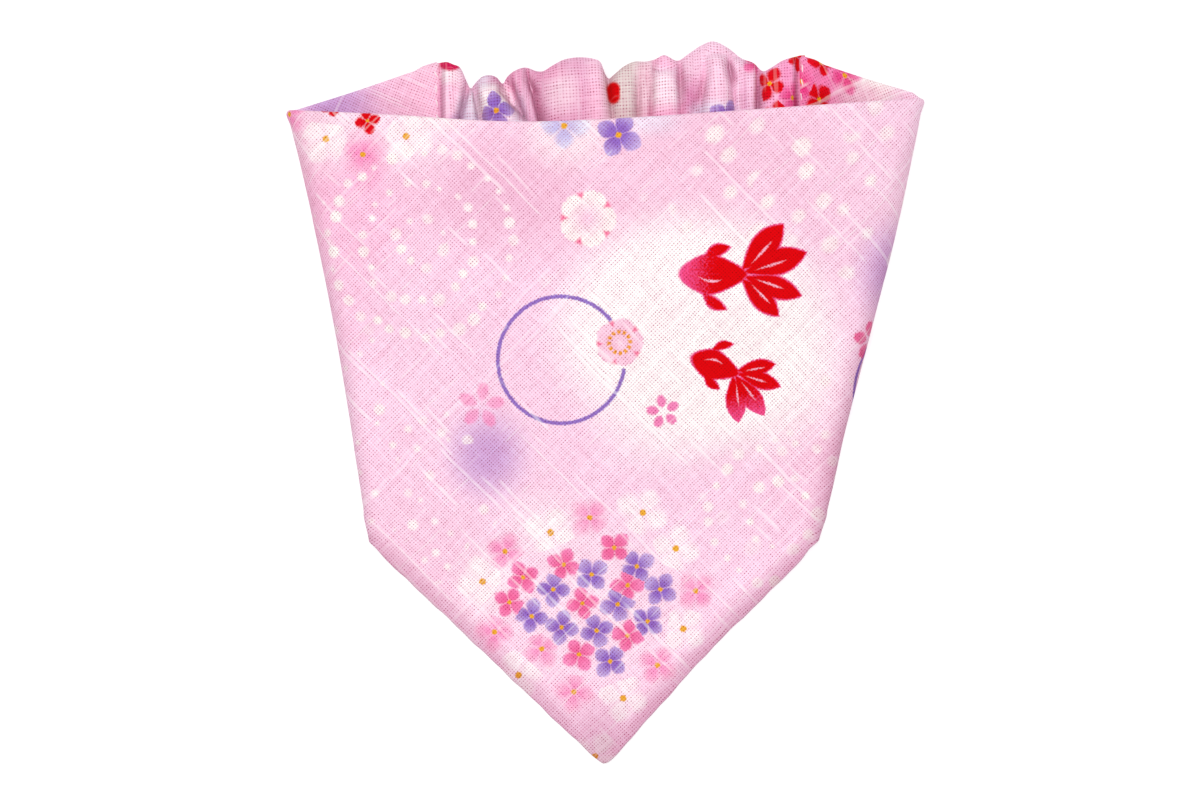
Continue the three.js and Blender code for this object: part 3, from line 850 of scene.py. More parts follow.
# Painted shade deep in the band's folds, where shadow and light bounced off the surrounding cloth darken the
# colour: depth is measured from a smooth, full tube
def dyeAndShadeBand():
    x, y, z = bandPlaces[..., 0], bandPlaces[..., 1], bandPlaces[..., 2]
    fullness = np.clip(1 - ((y - elasticLine(x)) / valleyShade["halfWidth"]) ** 2, 0, 1) ** 0.5
    depth = tube["middle"] + valleyShade["crest"] * fullness - z
    deep = ease((depth - valleyShade["start"]) / valleyShade["growth"]) * (z > tube["middle"])
    none = np.zeros(x.shape)
    storeDyeAndShade(band, laidSpots(x, y, "pink", bandDyeAndShade), none, none, valleyShade["strength"] * deep)


# A number that flows through a material: each sum on it adds a node
class Wire:
    def __init__(self, tree, socket):
        self.tree, self.socket = tree, socket

    def sum(self, operation, *values, clamp=False):
        node = self.tree.nodes.new("ShaderNodeMath")
        node.operation, node.use_clamp = operation, clamp
        for entry, value in zip(node.inputs, values):
            feed(self.tree, value, entry)
        return Wire(self.tree, node.outputs[0])

    def __add__(self, other):
        return self.sum("ADD", self, other)

    def __radd__(self, other):
        return self.sum("ADD", other, self)

    def __sub__(self, other):
        return self.sum("SUBTRACT", self, other)

    def __rsub__(self, other):
        return self.sum("SUBTRACT", other, self)

    def __mul__(self, other):
        return self.sum("MULTIPLY", self, other)

    def __rmul__(self, other):
        return self.sum("MULTIPLY", other, self)

    def __truediv__(self, other):
        return self.sum("DIVIDE", self, other)

    def __pow__(self, other):
        return self.sum("POWER", self, other)

    def cosine(self):
        return self.sum("COSINE", self)

    def sine(self):
        return self.sum("SINE", self)

    def size(self):
        return self.sum("ABSOLUTE", self)

    def floor(self):
        return self.sum("FLOOR", self)

    def below(self, other):
        return self.sum("LESS_THAN", self, other)

    def lesser(self, other):
        return self.sum("MINIMUM", self, other)

    def greater(self, other):
        return self.sum("MAXIMUM", self, other)

    # From 0 where the number is under -soft / 2 to 1 where it is over soft / 2
    def edge(self, soft):
        return self.sum("ADD", self / soft, 0.5, clamp=True)

    def clamped(self):
        return self.sum("ADD", self, 0.0, clamp=True)


def feed(tree, value, entry):
    if isinstance(value, Wire):
        tree.links.new(value.socket, entry)
    elif hasattr(value, "is_output"):
        tree.links.new(value, entry)
    else:
        entry.default_value = value


def addNode(tree, kind, entries=(), **settings):
    node = tree.nodes.new(kind)
    for name, value in settings.items():
        setattr(node, name, value)
    for name, value in dict(entries).items():
        feed(tree, value, node.inputs[name])
    return node


def newGroup(name, entries, results):
    tree = bpy.data.node_groups.new(name, "ShaderNodeTree")
    for entry, kind in entries:
        tree.interface.new_socket(entry, in_out="INPUT", socket_type="NodeSocket" + kind)
    for result, kind in results:
        tree.interface.new_socket(result, in_out="OUTPUT", socket_type="NodeSocket" + kind)
    return tree, tree.nodes.new("NodeGroupInput"), tree.nodes.new("NodeGroupOutput")


def useGroup(tree, group, entries):
    node = tree.nodes.new("ShaderNodeGroup")
    node.node_tree = group
    for name, value in entries.items():
        feed(tree, value, node.inputs[name])
    return node


def parts(tree, vector, count=3):
    node = addNode(tree, "ShaderNodeSeparateXYZ", {"Vector": vector})
    return [Wire(tree, node.outputs[i]) for i in range(count)]


def vectorSum(tree, operation, first, second=(0, 0, 0)):
    node = tree.nodes.new("ShaderNodeVectorMath")
    node.operation = operation
    feed(tree, first, node.inputs[0])
    feed(tree, second, node.inputs[1])
    return node.outputs["Value"] if operation in ("DISTANCE", "LENGTH") else node.outputs[0]


def join(tree, x, y, z=0.0):
    return addNode(tree, "ShaderNodeCombineXYZ", {"X": x, "Y": y, "Z": z}).outputs[0]


# Distance from a middle and angle round it
def polar(tree, dx, dy):
    length = Wire(tree, vectorSum(tree, "LENGTH", join(tree, dx, dy)))
    return length, dy.sum("ARCTAN2", dy, dx)


def noiseAt(tree, vector, scale, detail=1.0):
    entries = {"Vector": vector, "Scale": scale, "Detail": detail}
    return addNode(tree, "ShaderNodeTexNoise", entries, noise_dimensions="2D").outputs


def drawAt(tree, vector):
    return addNode(tree, "ShaderNodeTexWhiteNoise", {"Vector": vector}, noise_dimensions="2D").outputs


def stored(tree, name, kind="Fac"):
    return addNode(tree, "ShaderNodeAttribute", attribute_name=name).outputs[kind]


def newMix(tree, kind, share):
    node = tree.nodes.new("ShaderNodeMix")
    node.data_type = kind
    feed(tree, share, node.inputs[0])
    return node


def paintOver(tree, share, under, over):
    node = newMix(tree, "RGBA", share)
    feed(tree, under, node.inputs[6])
    feed(tree, over, node.inputs[7])
    return node.outputs[2]


def dyeColour(name):
    return (*linear(name), 1)


# The weave: yarns along both diagonals. Heavier yarns run up to the right, finer ones down to the right.
# Gaps show as rows of dark dots, and thick slubs in some yarns as long pale lines
weave = {
    "heavyPitch": 0.585,
    "finePitch": 0.574,       # two fine yarns, over and under
    "wander": 0.5,            # how far a yarn strays, over about 12 mm
    "gapShade": 0.06,
    "dotShade": 1.25,
    "crossingShade": 0.09,
    "yarnShade": 0.18,        # how much one yarn differs from the next
    "bandShade": 0.1,         # how much one stripe of yarns differs from the next
    "slubShade": 1.03,
    "slubWhite": 0.34,
    "depth": 0.06,
}
# Slubs by direction: pitch of the yarns, share without a slub, length of one, how much stays plain, strength
slubs = {
    "downRight": (1.05, 0.74, 20.0, 0.5, 0.95),
    "upRight": (0.7, 0.78, 11.0, 0.51, 0.7),
}


def slubLines(tree, along, cross, row):
    pitch, plain, length, share, strength = row
    count = cross / pitch
    index = count.floor()
    draw = addNode(tree, "ShaderNodeTexWhiteNoise", {"W": index}, noise_dimensions="1D")
    drawn = Wire(tree, draw.outputs["Value"])
    lengthwise = Wire(tree, noiseAt(tree, join(tree, along / length, index * 7.31), 1.0)["Fac"])
    knots = Wire(tree, noiseAt(tree, join(tree, along * 0.35, index * 3.1), 1.0)["Fac"])
    on = ((drawn - plain) * 60).clamped() * ((lengthwise - share) * 16).clamped()
    width = 0.4 + knots * 0.6 * (drawn - plain) / (1 - plain)
    inside = (width - (count - index - 0.5).size() * 2).edge(0.35)
    return on * inside * (strength * 0.55 + knots * (strength * 0.75))


def weaveGroup():
    tree, start, end = newGroup("slubWeave", [("Flat", "Vector")],
                                [("Shade", "Float"), ("Slub", "Float"), ("Height", "Float")])
    flat = start.outputs["Flat"]

    def strayed(x, y, scale=1.0, detail=1.0):
        return Wire(tree, noiseAt(tree, join(tree, x, y), scale, detail)["Fac"]) - 0.5

    strayX, strayY = parts(tree, noiseAt(tree, flat, 0.08, 2.0)["Color"], 2)
    x, y = parts(tree, flat, 2)
    up = (x + y) * math.sqrt(0.5) + (strayX - 0.5) * (2 * weave["wander"])
    across = (x - y) * math.sqrt(0.5) + (strayY - 0.5) * (2 * weave["wander"])
    heavy, fine = across / weave["heavyPitch"], up / weave["finePitch"]
    heavyWave, fineWave = (heavy * (2 * math.pi)).cosine(), (fine * (2 * math.pi)).cosine()
    gap = (0 - heavyWave).greater(0) ** 1.2
    dot = gap * ((0 - fineWave).greater(0) ** 1.6)
    patchy = ((Wire(tree, noiseAt(tree, flat, 0.5, 3.0)["Fac"]) - 0.36) * 3.2).clamped()
    # Each gap has a size of its own
    cell = Wire(tree, drawAt(tree, join(tree, heavy.floor(), fine.floor()))["Value"])
    hole = dot * (cell ** 2.5 * 1.6 + 0.45) * (0.55 + patchy * 0.45) * weave["dotShade"]
    # Each yarn has its own paleness, which changes slowly along it
    alongHeavy = strayed(up * 0.06, (heavy + 0.5).floor() * 3.7)
    alongFine = strayed(across * 0.06, (up / 0.45).floor() * 5.3)
    stripes = strayed(up * 0.05, across * 0.45, 1.0, 2.0)
    slub = slubLines(tree, across, up, slubs["downRight"])
    slub = slub.greater(slubLines(tree, up, across, slubs["upRight"])).clamped()
    crossing = heavyWave.greater(0) * fineWave.greater(0)
    shade = (1 - gap * weave["gapShade"] * (0.5 + patchy)) * (1 - hole.lesser(0.8))
    shade = shade + crossing * weave["crossingShade"]
    shade = shade * (1 + (alongHeavy + alongFine) * weave["yarnShade"] + stripes * weave["bandShade"])
    feed(tree, mix(shade, weave["slubShade"], slub * 0.8), end.inputs["Shade"])
    feed(tree, slub, end.inputs["Slub"])
    feed(tree, heavyWave * 0.5 + fineWave * 0.25 - dot + slub * 1.6, end.inputs["Height"])
    return tree


# Flower heads of four petals, by kind: radius, softness of the edge, inner and outer dye, strength
florets = {
    "purple": (4.3, 0.16, "purple", "lightPurple", 1.0),
    "pink": (4.1, 0.18, "petalPink", "softPink", 0.95),
    "white": (6.2, 0.34, "white", "white", 0.62),
    "pale": (5.0, 0.4, "softPink", "palePink", 0.85),
    "red": (4.2, 0.2, "red", "deepRed", 1.0),
    "magenta": (4.6, 0.3, "hotPink", "softPink", 0.9),
    "lilac": (5.8, 0.26, "lilac", "paleLilac", 0.8),
    "smallRed": (3.1, 0.2, "red", "deepRed", 1.0),
    "large": (5.6, 0.1, "purple", "lightPurple", 1.0),
}
floretKinds = list(florets)
floretSteps = 10        # a kind is passed on as its number over this, and so are the numbers in its row

# Where they are on the front's pattern: kind, x, y
frontFlorets = [
    ("purple", 7.0, -36.7), ("purple", -2.8, -38.5), ("purple", -11.2, -41.8), ("purple", 12.2, -41.8),
    ("purple", 2.8, -45.1), ("purple", -16.0, -47.8), ("purple", -9.4, -50.2), ("purple", -1.7, -50.9),
    ("purple", 9.4, -48.9), ("purple", 1.2, -57.7), ("pink", 2.1, -32.5), ("pink", -8.9, -36.3),
    ("pink", -17.8, -39.2), ("pink", -20.9, -44.7), ("pink", 5.0, -40.9), ("pink", -4.8, -44.9),
    ("pink", 5.0, -52.0), ("pink", -5.6, -56.2), ("pale", -13.8, -55.0), ("white", -11.8, -29.2),
    ("pale", -3.2, -25.9), ("white", 8.3, -24.8), ("white", 15.6, -32.8), ("pale", -21.8, -33.4),
    ("white", -26.8, -40.2), ("pale", 20.0, -42.2), ("white", 17.3, -50.6), ("pale", 11.6, -58.6),
    ("pale", -24.2, -51.3), ("white", -18.9, -60.8), ("pale", -6.7, -64.5), ("white", 4.1, -65.9),
    ("white", -2.1, -78.7), ("white", -60.6, 56.7), ("white", -42.9, 56.9), ("pale", -52.4, 53.1),
    ("smallRed", -51.3, 60.4), ("smallRed", -59.3, 64.2), ("pale", -69.0, 62.4), ("lilac", -8.7, 58.9),
    ("large", 3.0, 56.9),
]
# On the wings' backs and the inner layer, in the same way
hiddenFlorets = [
    ("white", -88, 44), ("pale", -82, 36), ("purple", -90, 54), ("pink", -84, 50), ("lilac", -78, 8),
    ("purple", 88, 50), ("pink", 84, 40), ("white", 80, 30), ("pale", 92, 42), ("lilac", 76, 4),
    ("purple", 404, -30), ("pink", 397, -26), ("purple", 396, -35), ("pale", 408, -22), ("white", 390, -44),
    ("pink", 405, -40), ("white", 414, -34), ("purple", 399, 20), ("pale", 416, 12), ("white", 380, 6),
]
# On the wings' inner faces, in plan, and on the band's front, in plan
wingFlorets = [
    ("magenta", 43.2, 69.3), ("smallRed", 47.5, 73.4), ("magenta", 52.7, 70.8), ("red", 47.3, 65.6),
]
bandFlorets = [
    ("large", -23.6, 62.6), ("large", 26.6, 60.4), ("red", 36.0, 68.8),
    ("red", 37.6, 61.4), ("red", 41.4, 76.6), ("magenta", 41.0, 65.6), ("magenta", 34.2, 74.4),
]

# The pattern's place of a spot on a wing's inner face or on the band, read from the nearest point in plan
def spotOn(places, flat, usable, x, y, shift):
    away = np.where(usable, (places[..., 0] - x)**2 + (places[..., 1] - y)**2, 1e9)
    i, k = np.unravel_index(away.argmin(), away.shape)
    return flat[i, k] + np.asarray(shift)


def allFlorets():
    rows = frontFlorets + hiddenFlorets
    columns = np.arange(len(clothPlaces))[:, None]
    wings = (columns < steps["wing"]) | (columns > len(clothPlaces) - steps["wing"])
    onWings, onBand = wings & (clothLayers[None, :] > 0.5), bandPlaces[..., 2] > tube["middle"]
    for kind, x, y in wingFlorets:
        rows = rows + [(kind, *spotOn(clothPlaces, clothFlat[:, :-1], onWings, x, y, innerShift))]
    for kind, x, y in bandFlorets:
        rows = rows + [(kind, *spotOn(bandPlaces, bandFlat[:, :-1], onBand, x, y, (0, 0)))]
    return rows


# Reads one column of the florets' rows, a dye or a number, for the kind that is passed on
def kindRamp(tree, kind, column):
    ramp = addNode(tree, "ShaderNodeValToRGB", {"Fac": kind})
    ramp.color_ramp.interpolation = "CONSTANT"
    stops = ramp.color_ramp.elements
    while len(stops) < len(floretKinds):
        stops.new(0.5)
    for i, name in enumerate(floretKinds):
        stops[i].position = i / floretSteps
        value = florets[name][column]
        stops[i].color = dyeColour(value) if isinstance(value, str) else (*[value / floretSteps] * 3, 1)
    return ramp.outputs["Color"]


# One petal of several round a middle, in polar places: the angle is folded to the nearest petal's middle line,
# and along it a petal's half width is half sin(pi u^fullness)^0.7, with u from 0 at start to 1 at the tip
def petals(tree, angle, out, count, start, half, fullness, soft):
    turn = angle * (count / (2 * math.pi)) + 0.5
    folded = (turn - turn.floor() - 0.5) * (2 * math.pi / count)
    u = (out * folded.cosine() - start) / (1 - start)
    beyond = ((u - 0.5).size() - 0.5).greater(0)
    width = ((u.clamped() ** fullness) * math.pi).sine().greater(0) ** 0.7 * half - beyond * 4
    return (width - (out * folded.sine()).size()).edge(soft), folded


# The nearest flower head's middle, with its kind as the third number. Paler heads count as a little farther
# away, so that the others lie over them
def nearestFloret(tree, flat, rows):
    nearest, chosen = None, None
    for kind, x, y in rows:
        x, y = round(float(x), 2), round(float(y), 2)
        packed = (x, y, floretKinds.index(kind) / floretSteps + 0.02)
        away = Wire(tree, vectorSum(tree, "DISTANCE", flat, (x, y, 0.0)))
        if kind in ("white", "pale"):
            away = away + 0.9
        if nearest is None:
            nearest, chosen = away, packed
            continue
        picked = newMix(tree, "VECTOR", away.below(nearest))
        feed(tree, chosen, picked.inputs[4])
        feed(tree, packed, picked.inputs[5])
        nearest, chosen = nearest.lesser(away), picked.outputs[1]
    return chosen


def floretGroup(rows):
    tree, start, end = newGroup("florets", [("Flat", "Vector"), ("Ground", "Color")], [("Dye", "Color")])
    flat = start.outputs["Flat"]
    chosen = nearestFloret(tree, flat, rows)
    x, y = parts(tree, flat, 2)
    middleX, middleY, kind = parts(tree, chosen)
    turn = Wire(tree, drawAt(tree, chosen)["Value"])
    length, angle = polar(tree, x - middleX, y - middleY)
    angle = angle + turn * (math.pi / 2)
    radius, soft, strength = (Wire(tree, kindRamp(tree, kind, column)) * floretSteps for column in (0, 1, 4))
    # Each petal has a length and a tone of its own
    quarter = (angle * (4 / (2 * math.pi)) + 0.5).floor()
    own = Wire(tree, drawAt(tree, join(tree, quarter, turn * 91))["Value"])
    out = length / (radius * (0.86 + own * 0.16))
    share, folded = petals(tree, angle, out, 4, 0.03, 0.39, 1.15, soft)
    veins = (folded * 26).cosine() * 0.1
    pale = (out * 1.35 - 0.42 + veins + (own - 0.5) * 0.5).clamped()
    petal = paintOver(tree, pale, kindRamp(tree, kind, 2), kindRamp(tree, kind, 3))
    colour = paintOver(tree, share * strength, start.outputs["Ground"], petal)
    middle = (radius * 0.12 - length).edge(0.2)
    feed(tree, paintOver(tree, middle * 0.95, colour, dyeColour("yellow")), end.inputs["Dye"])
    return tree


# Blossoms of five petals: x, y, radius, turn in degrees, where the petals start, their half width, fullness,
# petal dye, mark dye, strength, how hollow, and a ring of dots (1), marks alone (0) or neither (-1)
blossoms = [
    (3.2, 12.3, 5.4, 4, 0.0, 0.46, 1.5, "blushPink", "notchPink", 0.95, 0.0, 1.0),
    (-3.7, 38.9, 6.4, -2, 0.0, 0.46, 1.5, "cream", "notchPink", 0.9, 0.9, 0.0),
    (12.7, -2.7, 3.9, 29, 0.24, 0.27, 0.95, "rosyPink", "white", 0.9, 0.0, -1.0),
    (-26.8, -1.4, 5.4, 12, 0.2, 0.24, 1.0, "softPink", "white", 0.7, 0.3, -1.0),
    (58.6, 12.6, 4.6, 20, 0.2, 0.3, 0.95, "hotPink", "white", 0.8, 0.3, -1.0),
    (388.0, 36.0, 5.5, 40, 0.0, 0.46, 1.5, "blushPink", "notchPink", 0.9, 0.0, 1.0),
]


# Marks sit between the petals near the rim: wedges that point to the middle
def blossomGroup():
    numbers = ("Radius", "Turn", "Start", "Half", "Fullness", "Strength", "Hollow", "Ring")
    entries = [("Flat", "Vector"), ("Middle", "Vector")]
    entries += [(name, "Color") for name in ("Ground", "Petal", "Mark")]
    entries += [(name, "Float") for name in numbers]
    tree, start, end = newGroup("blossom", entries, [("Dye", "Color")])
    entry = {socket.name: socket for socket in start.outputs}
    wire = {name: Wire(tree, entry[name]) for name in numbers}
    length, angle = polar(tree, *parts(tree, vectorSum(tree, "SUBTRACT", entry["Flat"], entry["Middle"]), 2))
    out, angle = length / wire["Radius"], angle - wire["Turn"]
    notched = out + (1 - (angle * 2.5).sine().size() * 6).clamped() * 0.1
    share, folded = petals(tree, angle, notched, 5, wire["Start"], wire["Half"], wire["Fullness"], 0.14)
    inner = mix(1.0, ((out - 0.12) * 1.7).clamped(), wire["Hollow"])
    petal = paintOver(tree, share * wire["Strength"] * inner, entry["Ground"], entry["Petal"])
    between = (math.pi / 5) - folded.size()
    wedgeU, wedgeV = out * between.cosine(), out * between.sine()
    wedge = ((wedgeU - 0.66) * 0.55 - wedgeV).edge(0.1) * (0.9 - wedgeU).edge(0.1)
    marked = paintOver(tree, wedge * (wire["Ring"] + 1).clamped() * 0.9, petal, entry["Mark"])
    dots = (0.08 - (out - 0.42).size()).edge(0.08) * ((angle * 12).cosine() + 0.35).edge(0.5)
    dotted = paintOver(tree, dots * wire["Ring"].clamped(), marked, dyeColour("orange"))
    feed(tree, dotted, end.inputs["Dye"])
    return tree


# Rings: x, y, radius, half width, and the angles in degrees between which one is left open
rings = [(-9.4, 8.5, 13.7, 0.42, -8.0, 38.0), (67.0, 1.6, 12.0, 0.5, -20.0, 20.0)]


def ringShare(tree, flat, row):
    middleX, middleY, radius, half, openFrom, openTo = row
    x, y = parts(tree, flat, 2)
    length, angle = polar(tree, x - middleX, y - middleY)
    fromGap = (angle * (180 / math.pi) - (openFrom + openTo) / 2).size() - (openTo - openFrom) / 2
    return (half - (length - radius).size()).edge(0.25) * fromGap.edge(1.5)


# An ordinary goldfish, drawn in millimetres from the root of its tail: an egg for the body, and leaves for the
# fins, the gill and the tail. A leaf's half width at the share u of its length is width sin(pi u^1.3)^0.85
fish = {
    "body": (-6, 8, 4.8),           # x of its middle, half length, half height
    "narrowing": (0.5, 0.35),       # towards the tail and towards the mouth
    # Angle, length, half width, bend, root x and y
    "fins": [(30, 8, 1.7, 0.12, -9, 2), (-40, 8, 1.6, -0.12, -9, -2.5)],
    "gill": (-10, 6, 0.4, -0.15, -10, 0),
    # The tail's lobes, each with a pale slit along its middle: angle, length, half width
    "lobes": [(48, 15, 3.2), (18, 16, 3.2), (-18, 15, 2.8), (-45, 13, 2.6)],
    "slit": (2.5, 0.5, 0.36),       # how far out it starts, its share of the lobe's length, half width
}
# Each fish: place, scale, turn of the body and further turn of the tail in degrees, which side is up, and
# where pink spreads into the red: the way, and how far along it
fishes = {
    "large": {
        "place": (29.6, 27.0), "scale": 1.0, "turn": 0, "tailTurn": 0, "up": 1,
        "fadeWay": (-1, 0), "fadeFrom": 7,
    },
    "small": {
        "place": (28.3, 5.8), "scale": 0.76, "turn": -20, "tailTurn": 15, "up": -1,
        "fadeWay": (0.5, 0.8), "fadeFrom": 6.5,
    },
}


def turnedBy(degrees):
    return math.cos(math.radians(degrees)), math.sin(math.radians(degrees))


def leafShare(tree, x, y, row, soft):
    degrees, length, width, bend, rootX, rootY = row
    c, s = turnedBy(degrees)
    dx, dy = x - rootX, y - rootY
    u = (dx * c + dy * s) / length
    v = dy * c - dx * s - u * (1 - u) * (4 * bend * length)
    half = ((u.clamped() ** 1.3) * math.pi).sine().greater(0) ** 0.85 * width
    return ((half - v.size()) / soft).clamped()


def leaves(tree, x, y, rows, soft):
    share = leafShare(tree, x, y, rows[0], soft)
    for row in rows[1:]:
        share = share.greater(leafShare(tree, x, y, row, soft))
    return share


def fishGroup(name):
    own = fishes[name]
    tree, start, end = newGroup(name + "Fish", [("Flat", "Vector"), ("Ground", "Color")], [("Dye", "Color")])
    flat = start.outputs["Flat"]
    x, y = parts(tree, flat, 2)
    dx, dy = (x - own["place"][0]) / own["scale"], (y - own["place"][1]) / own["scale"]
    c, s = turnedBy(own["turn"])
    x, y = dx * c + dy * s, (dy * c - dx * s) * own["up"]
    middle, halfLong, halfHigh = fish["body"]
    toTail, toMouth = fish["narrowing"]
    bodyX = (x - middle) / halfLong
    narrowed = 1 - (bodyX + 0.1).greater(0) * toTail - (-0.3 - bodyX).greater(0) * toMouth
    bodyY = y / narrowed / halfHigh
    body = ((1 - (bodyX * bodyX + bodyY * bodyY)) * 3).clamped()
    slits, lobes = [fish["gill"]], []
    outFrom, along, slitHalf = fish["slit"]
    for degrees, length, half in fish["lobes"]:
        turned = degrees + own["tailTurn"]
        wayX, wayY = turnedBy(turned)
        lobes.append((turned, length, half, 0, -0.8, 0))
        slits.append((turned, length * along, slitHalf, 0, outFrom * wayX, outFrom * wayY))
    share = body.greater(leaves(tree, x, y, fish["fins"] + lobes, 0.8))
    slit = leaves(tree, x, y, slits, 0.3)
    grain = Wire(tree, noiseAt(tree, flat, 2.2)["Fac"]) - 0.5
    wayX, wayY = own["fadeWay"]
    fading = ((x * wayX + y * wayY - own["fadeFrom"]) * 0.17 + grain * 1.5).clamped() * 0.85
    faded = paintOver(tree, fading, dyeColour("red"), dyeColour("snoutPink"))
    fringed = paintOver(tree, (share * 2.4 - 1.0).clamped(), dyeColour("petalPink"), faded)
    painted = paintOver(tree, slit * 0.85, fringed, dyeColour("palePink"))
    feed(tree, paintOver(tree, (share * 2.4).clamped(), start.outputs["Ground"], painted), end.inputs["Dye"])
    return tree


# Pale dots strewn over the cloth, one in a cell of a jittered grid: size of a cell, smallest and largest
# radius, softness of the edge, stretch along the heavy yarns
strewings = {
    "dots": (4.6, 0.3, 1.2, 0.7, 1.0),
    "patches": (7.0, 1.0, 1.9, 0.9, 1.3),
}


def dotShare(tree, flat, name):
    cell, smallest, largest, soft, stretch = strewings[name]
    x, y = parts(tree, flat, 2)
    up, across = (x + y) * (math.sqrt(0.5) / stretch), (x - y) * math.sqrt(0.5)
    entries = {"Vector": join(tree, up, across), "Scale": 1 / cell, "Randomness": 0.8}
    cells = addNode(tree, "ShaderNodeTexVoronoi", entries, voronoi_dimensions="2D")
    away = Wire(tree, cells.outputs["Distance"]) * cell
    thereDraw, sizeDraw, paleDraw = parts(tree, cells.outputs["Color"])
    there = (Wire(tree, stored(tree, name)) - thereDraw).edge(0.1) * (0.6 + paleDraw * 0.4)
    return (smallest + sizeDraw * (largest - smallest) - away).edge(soft) * there


# Rings of pale dots: x, y, first radius, distance between rings, how many rings, distance between dots
dottedRings = [(-40.1, 33.9, 4.9, 7.5, 3, 3.7), (38.5, -25.2, 7.6, 7.9, 2, 4.1)]


def ringDots(tree, flat, row):
    middleX, middleY, first, step, count, apart = row
    x, y = parts(tree, flat, 2)
    length, angle = polar(tree, x - middleX, y - middleY)
    ring = ((length - first) / step + 0.5).floor().greater(0).lesser(count - 1)
    radius = ring * step + first
    around = (radius * (2 * math.pi / apart)).floor()
    turn = angle * (around / (2 * math.pi)) + around * 0.5
    index = turn.floor()
    draws = drawAt(tree, join(tree, index, ring * 17.3 + middleX))["Color"]
    sizeDraw, inDraw, alongDraw = parts(tree, draws)
    alongAway = (turn - index - 0.5) * apart + (alongDraw - 0.5) * 1.2
    inAway = length - radius + (inDraw - 0.5) * 1.8
    away = Wire(tree, vectorSum(tree, "LENGTH", join(tree, alongAway, inAway)))
    return (0.45 + sizeDraw * 0.95 - away).edge(0.6) * (0.6 + inDraw * 0.4)


# The front lies on the cloth's bias and the band along its grain, so a finish says how far the weave is
# turned, how wide it is pulled, and how clearly its gaps and slubs show
finishes = {
    "printedCotton": {"turn": 0, "pull": 1.0, "gaps": 1.0, "slubs": 1.0},
    "gatheredCotton": {"turn": 43, "pull": 1.22, "gaps": 1.1, "slubs": 0.35},
}
cottonLook = {
    "Roughness": 0.92,
    "Specular IOR Level": 0.06,
    "Sheen Weight": 0.015,
    "Sheen Roughness": 0.6,
}


# The print under the slubs: dye with its spots of painted shade, strewn dots, rings, blossoms and flower heads
def printedGround(tree, drawn, floretTree, blossomTree):
    colour = stored(tree, "dyeAndShade", "Color")
    for name in strewings:
        colour = paintOver(tree, dotShare(tree, drawn, name) * 0.85, colour, dyeColour("cream"))
    for row in dottedRings:
        colour = paintOver(tree, ringDots(tree, drawn, row), colour, dyeColour("cream"))
    for row in rings:
        colour = paintOver(tree, ringShare(tree, drawn, row) * 0.95, colour, dyeColour("ringPurple"))
    for x, y, radius, turn, begin, half, fullness, petal, mark, strength, hollow, ring in blossoms:
        colour = useGroup(tree, blossomTree, {
            "Flat": drawn, "Ground": colour, "Middle": (x, y, 0), "Radius": radius, "Turn": math.radians(turn),
            "Start": begin, "Half": half, "Fullness": fullness, "Petal": dyeColour(petal),
            "Mark": dyeColour(mark), "Strength": strength, "Hollow": hollow, "Ring": ring,
        }).outputs["Dye"]
    return useGroup(tree, floretTree, {"Flat": drawn, "Ground": colour}).outputs["Dye"]


def printedMaterial(name, weaveTree, floretTree, blossomTree, fishTrees):
    finish = finishes[name]
    material = bpy.data.materials.new(name)
    material.use_nodes = True
    tree = material.node_tree
    shader = tree.nodes["Principled BSDF"]
    flat = addNode(tree, "ShaderNodeUVMap", uv_map="flat").outputs["UV"]
    # The dye has run a little along the yarns, so motifs are drawn at places that waver
    fuzzX, fuzzY = parts(tree, noiseAt(tree, flat, 2.6)["Color"], 2)
    x, y = parts(tree, flat, 2)
    drawn = join(tree, x + (fuzzX - 0.5) * 0.5, y + (fuzzY - 0.5) * 0.5)
    grain = addNode(tree, "ShaderNodeMapping", {
        "Vector": flat, "Rotation": (0, 0, math.radians(finish["turn"])), "Scale": [1 / finish["pull"]] * 3})
    woven = useGroup(tree, weaveTree, {"Flat": grain.outputs["Vector"]})
    colour = printedGround(tree, drawn, floretTree, blossomTree)
    slub = Wire(tree, woven.outputs["Slub"]) * (finish["slubs"] * weave["slubWhite"])
    colour = paintOver(tree, slub, colour, dyeColour("white"))
    for fishTree in fishTrees:
        colour = useGroup(tree, fishTree, {"Flat": drawn, "Ground": colour}).outputs["Dye"]
    # Painted shade: where the stored shade is, the colour is darkened by the tone of painted shade over plain
    # pink
    shaded = (*linear("paintedShadePink") / linear("pink"), 1)
    dim = paintOver(tree, stored(tree, "shade"), (1, 1, 1, 1), shaded)
    colour = vectorSum(tree, "MULTIPLY", colour, dim)
    # Shadow in the weave is a little warmer than the yarn, so red is dimmed least
    shade = Wire(tree, woven.outputs["Shade"]) ** finish["gaps"]
    tint = join(tree, shade ** 0.5, shade ** 1.3, shade)
    feed(tree, vectorSum(tree, "MULTIPLY", colour, tint), shader.inputs["Base Color"])
    for entry, value in cottonLook.items():
        shader.inputs[entry].default_value = value
    raised = addNode(tree, "ShaderNodeBump", {
        "Strength": 0.6, "Distance": weave["depth"] * mm, "Height": woven.outputs["Height"]})
    feed(tree, raised.outputs["Normal"], shader.inputs["Normal"])
    return material


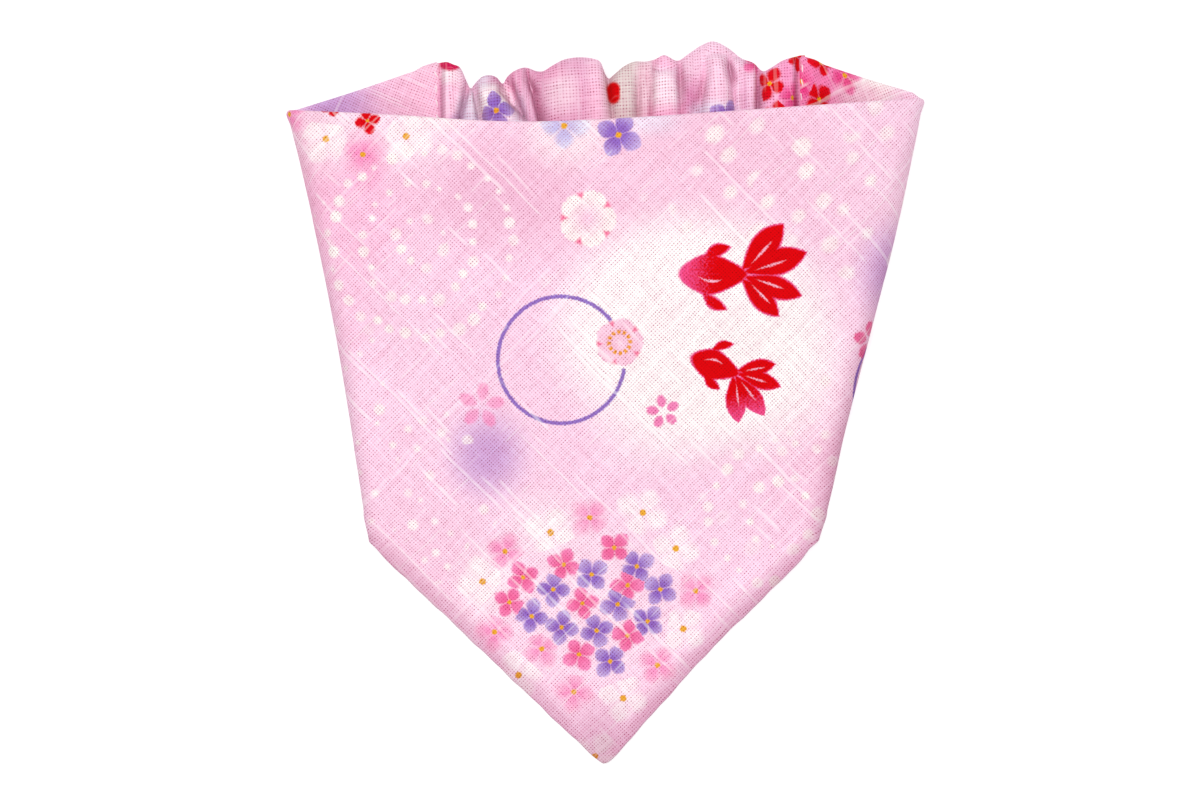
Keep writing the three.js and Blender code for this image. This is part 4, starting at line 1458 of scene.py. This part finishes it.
# Plain materials. The paper glows a little, as a lit backdrop does
plainLooks = {
    "paleThread": {"Base Color": dyeColour("white"), "Roughness": 0.8},
    "palePaper": {
        "Base Color": (0.4, 0.4, 0.4, 1), "Roughness": 0.9,
        "Emission Color": (1, 1, 1, 1), "Emission Strength": 0.66,
    },
}


def plainMaterial(name):
    material = bpy.data.materials.new(name)
    material.use_nodes = True
    for entry, value in plainLooks[name].items():
        material.node_tree.nodes["Principled BSDF"].inputs[entry].default_value = value
    return material


print("bandana: dyeing the cloth")
dyeAndShadeBandana()
dyeAndShadeBand()
groups = (weaveGroup(), floretGroup(allFlorets()), blossomGroup(), [fishGroup(name) for name in fishes])
bandana.data.materials.append(printedMaterial("printedCotton", *groups))
band.data.materials.append(printedMaterial("gatheredCotton", *groups))
stitches.data.materials.append(plainMaterial("paleThread"))

# Floor, light and camera
print("bandana: setting the table")
bpy.ops.mesh.primitive_plane_add(size=4, location=(0, 0, -0.0002))
floor = bpy.context.object
floor.name = "floor"
floor.data.materials.append(plainMaterial("palePaper"))

world = bpy.data.worlds.new("studio")
scene.world = world
world.use_nodes = True
world.node_tree.nodes["Background"].inputs["Color"].default_value = (1, 0.99, 0.985, 1)
world.node_tree.nodes["Background"].inputs["Strength"].default_value = 0.42

# Round soft lights that face the middle: place in metres and power in watts
lights = {
    "keyLight": ((-0.2, 0.35, 1.5), 15.2),
    "fillLight": ((0.5, -0.5, 1.3), 3.6),
}
for name, (place, power) in lights.items():
    lamp = bpy.data.lights.new(name, "AREA")
    lamp.shape = "DISK"
    lamp.size = 1.0
    lamp.energy = power
    lit = addObject(name, lamp)
    lit.location = place
    yaw = math.atan2(-place[1], -place[0]) - math.pi / 2
    lit.rotation_euler = (math.acos(place[2] / math.hypot(*place)), 0, yaw)

# The camera looks straight down. Width is what it takes in at the given level, and all but the sensor is in mm
view = {"x": -1.0, "y": -0.3, "distance": 1000.0, "width": 262.3, "level": 8.0, "sensor": 36.0}
lens = bpy.data.cameras.new("camera")
lens.sensor_width = view["sensor"]
lens.lens = view["sensor"] * (view["distance"] - view["level"]) / view["width"]
lens.clip_end = 10
camera = addObject("camera", lens)
camera.location = (view["x"] * mm, view["y"] * mm, view["distance"] * mm)
scene.camera = camera
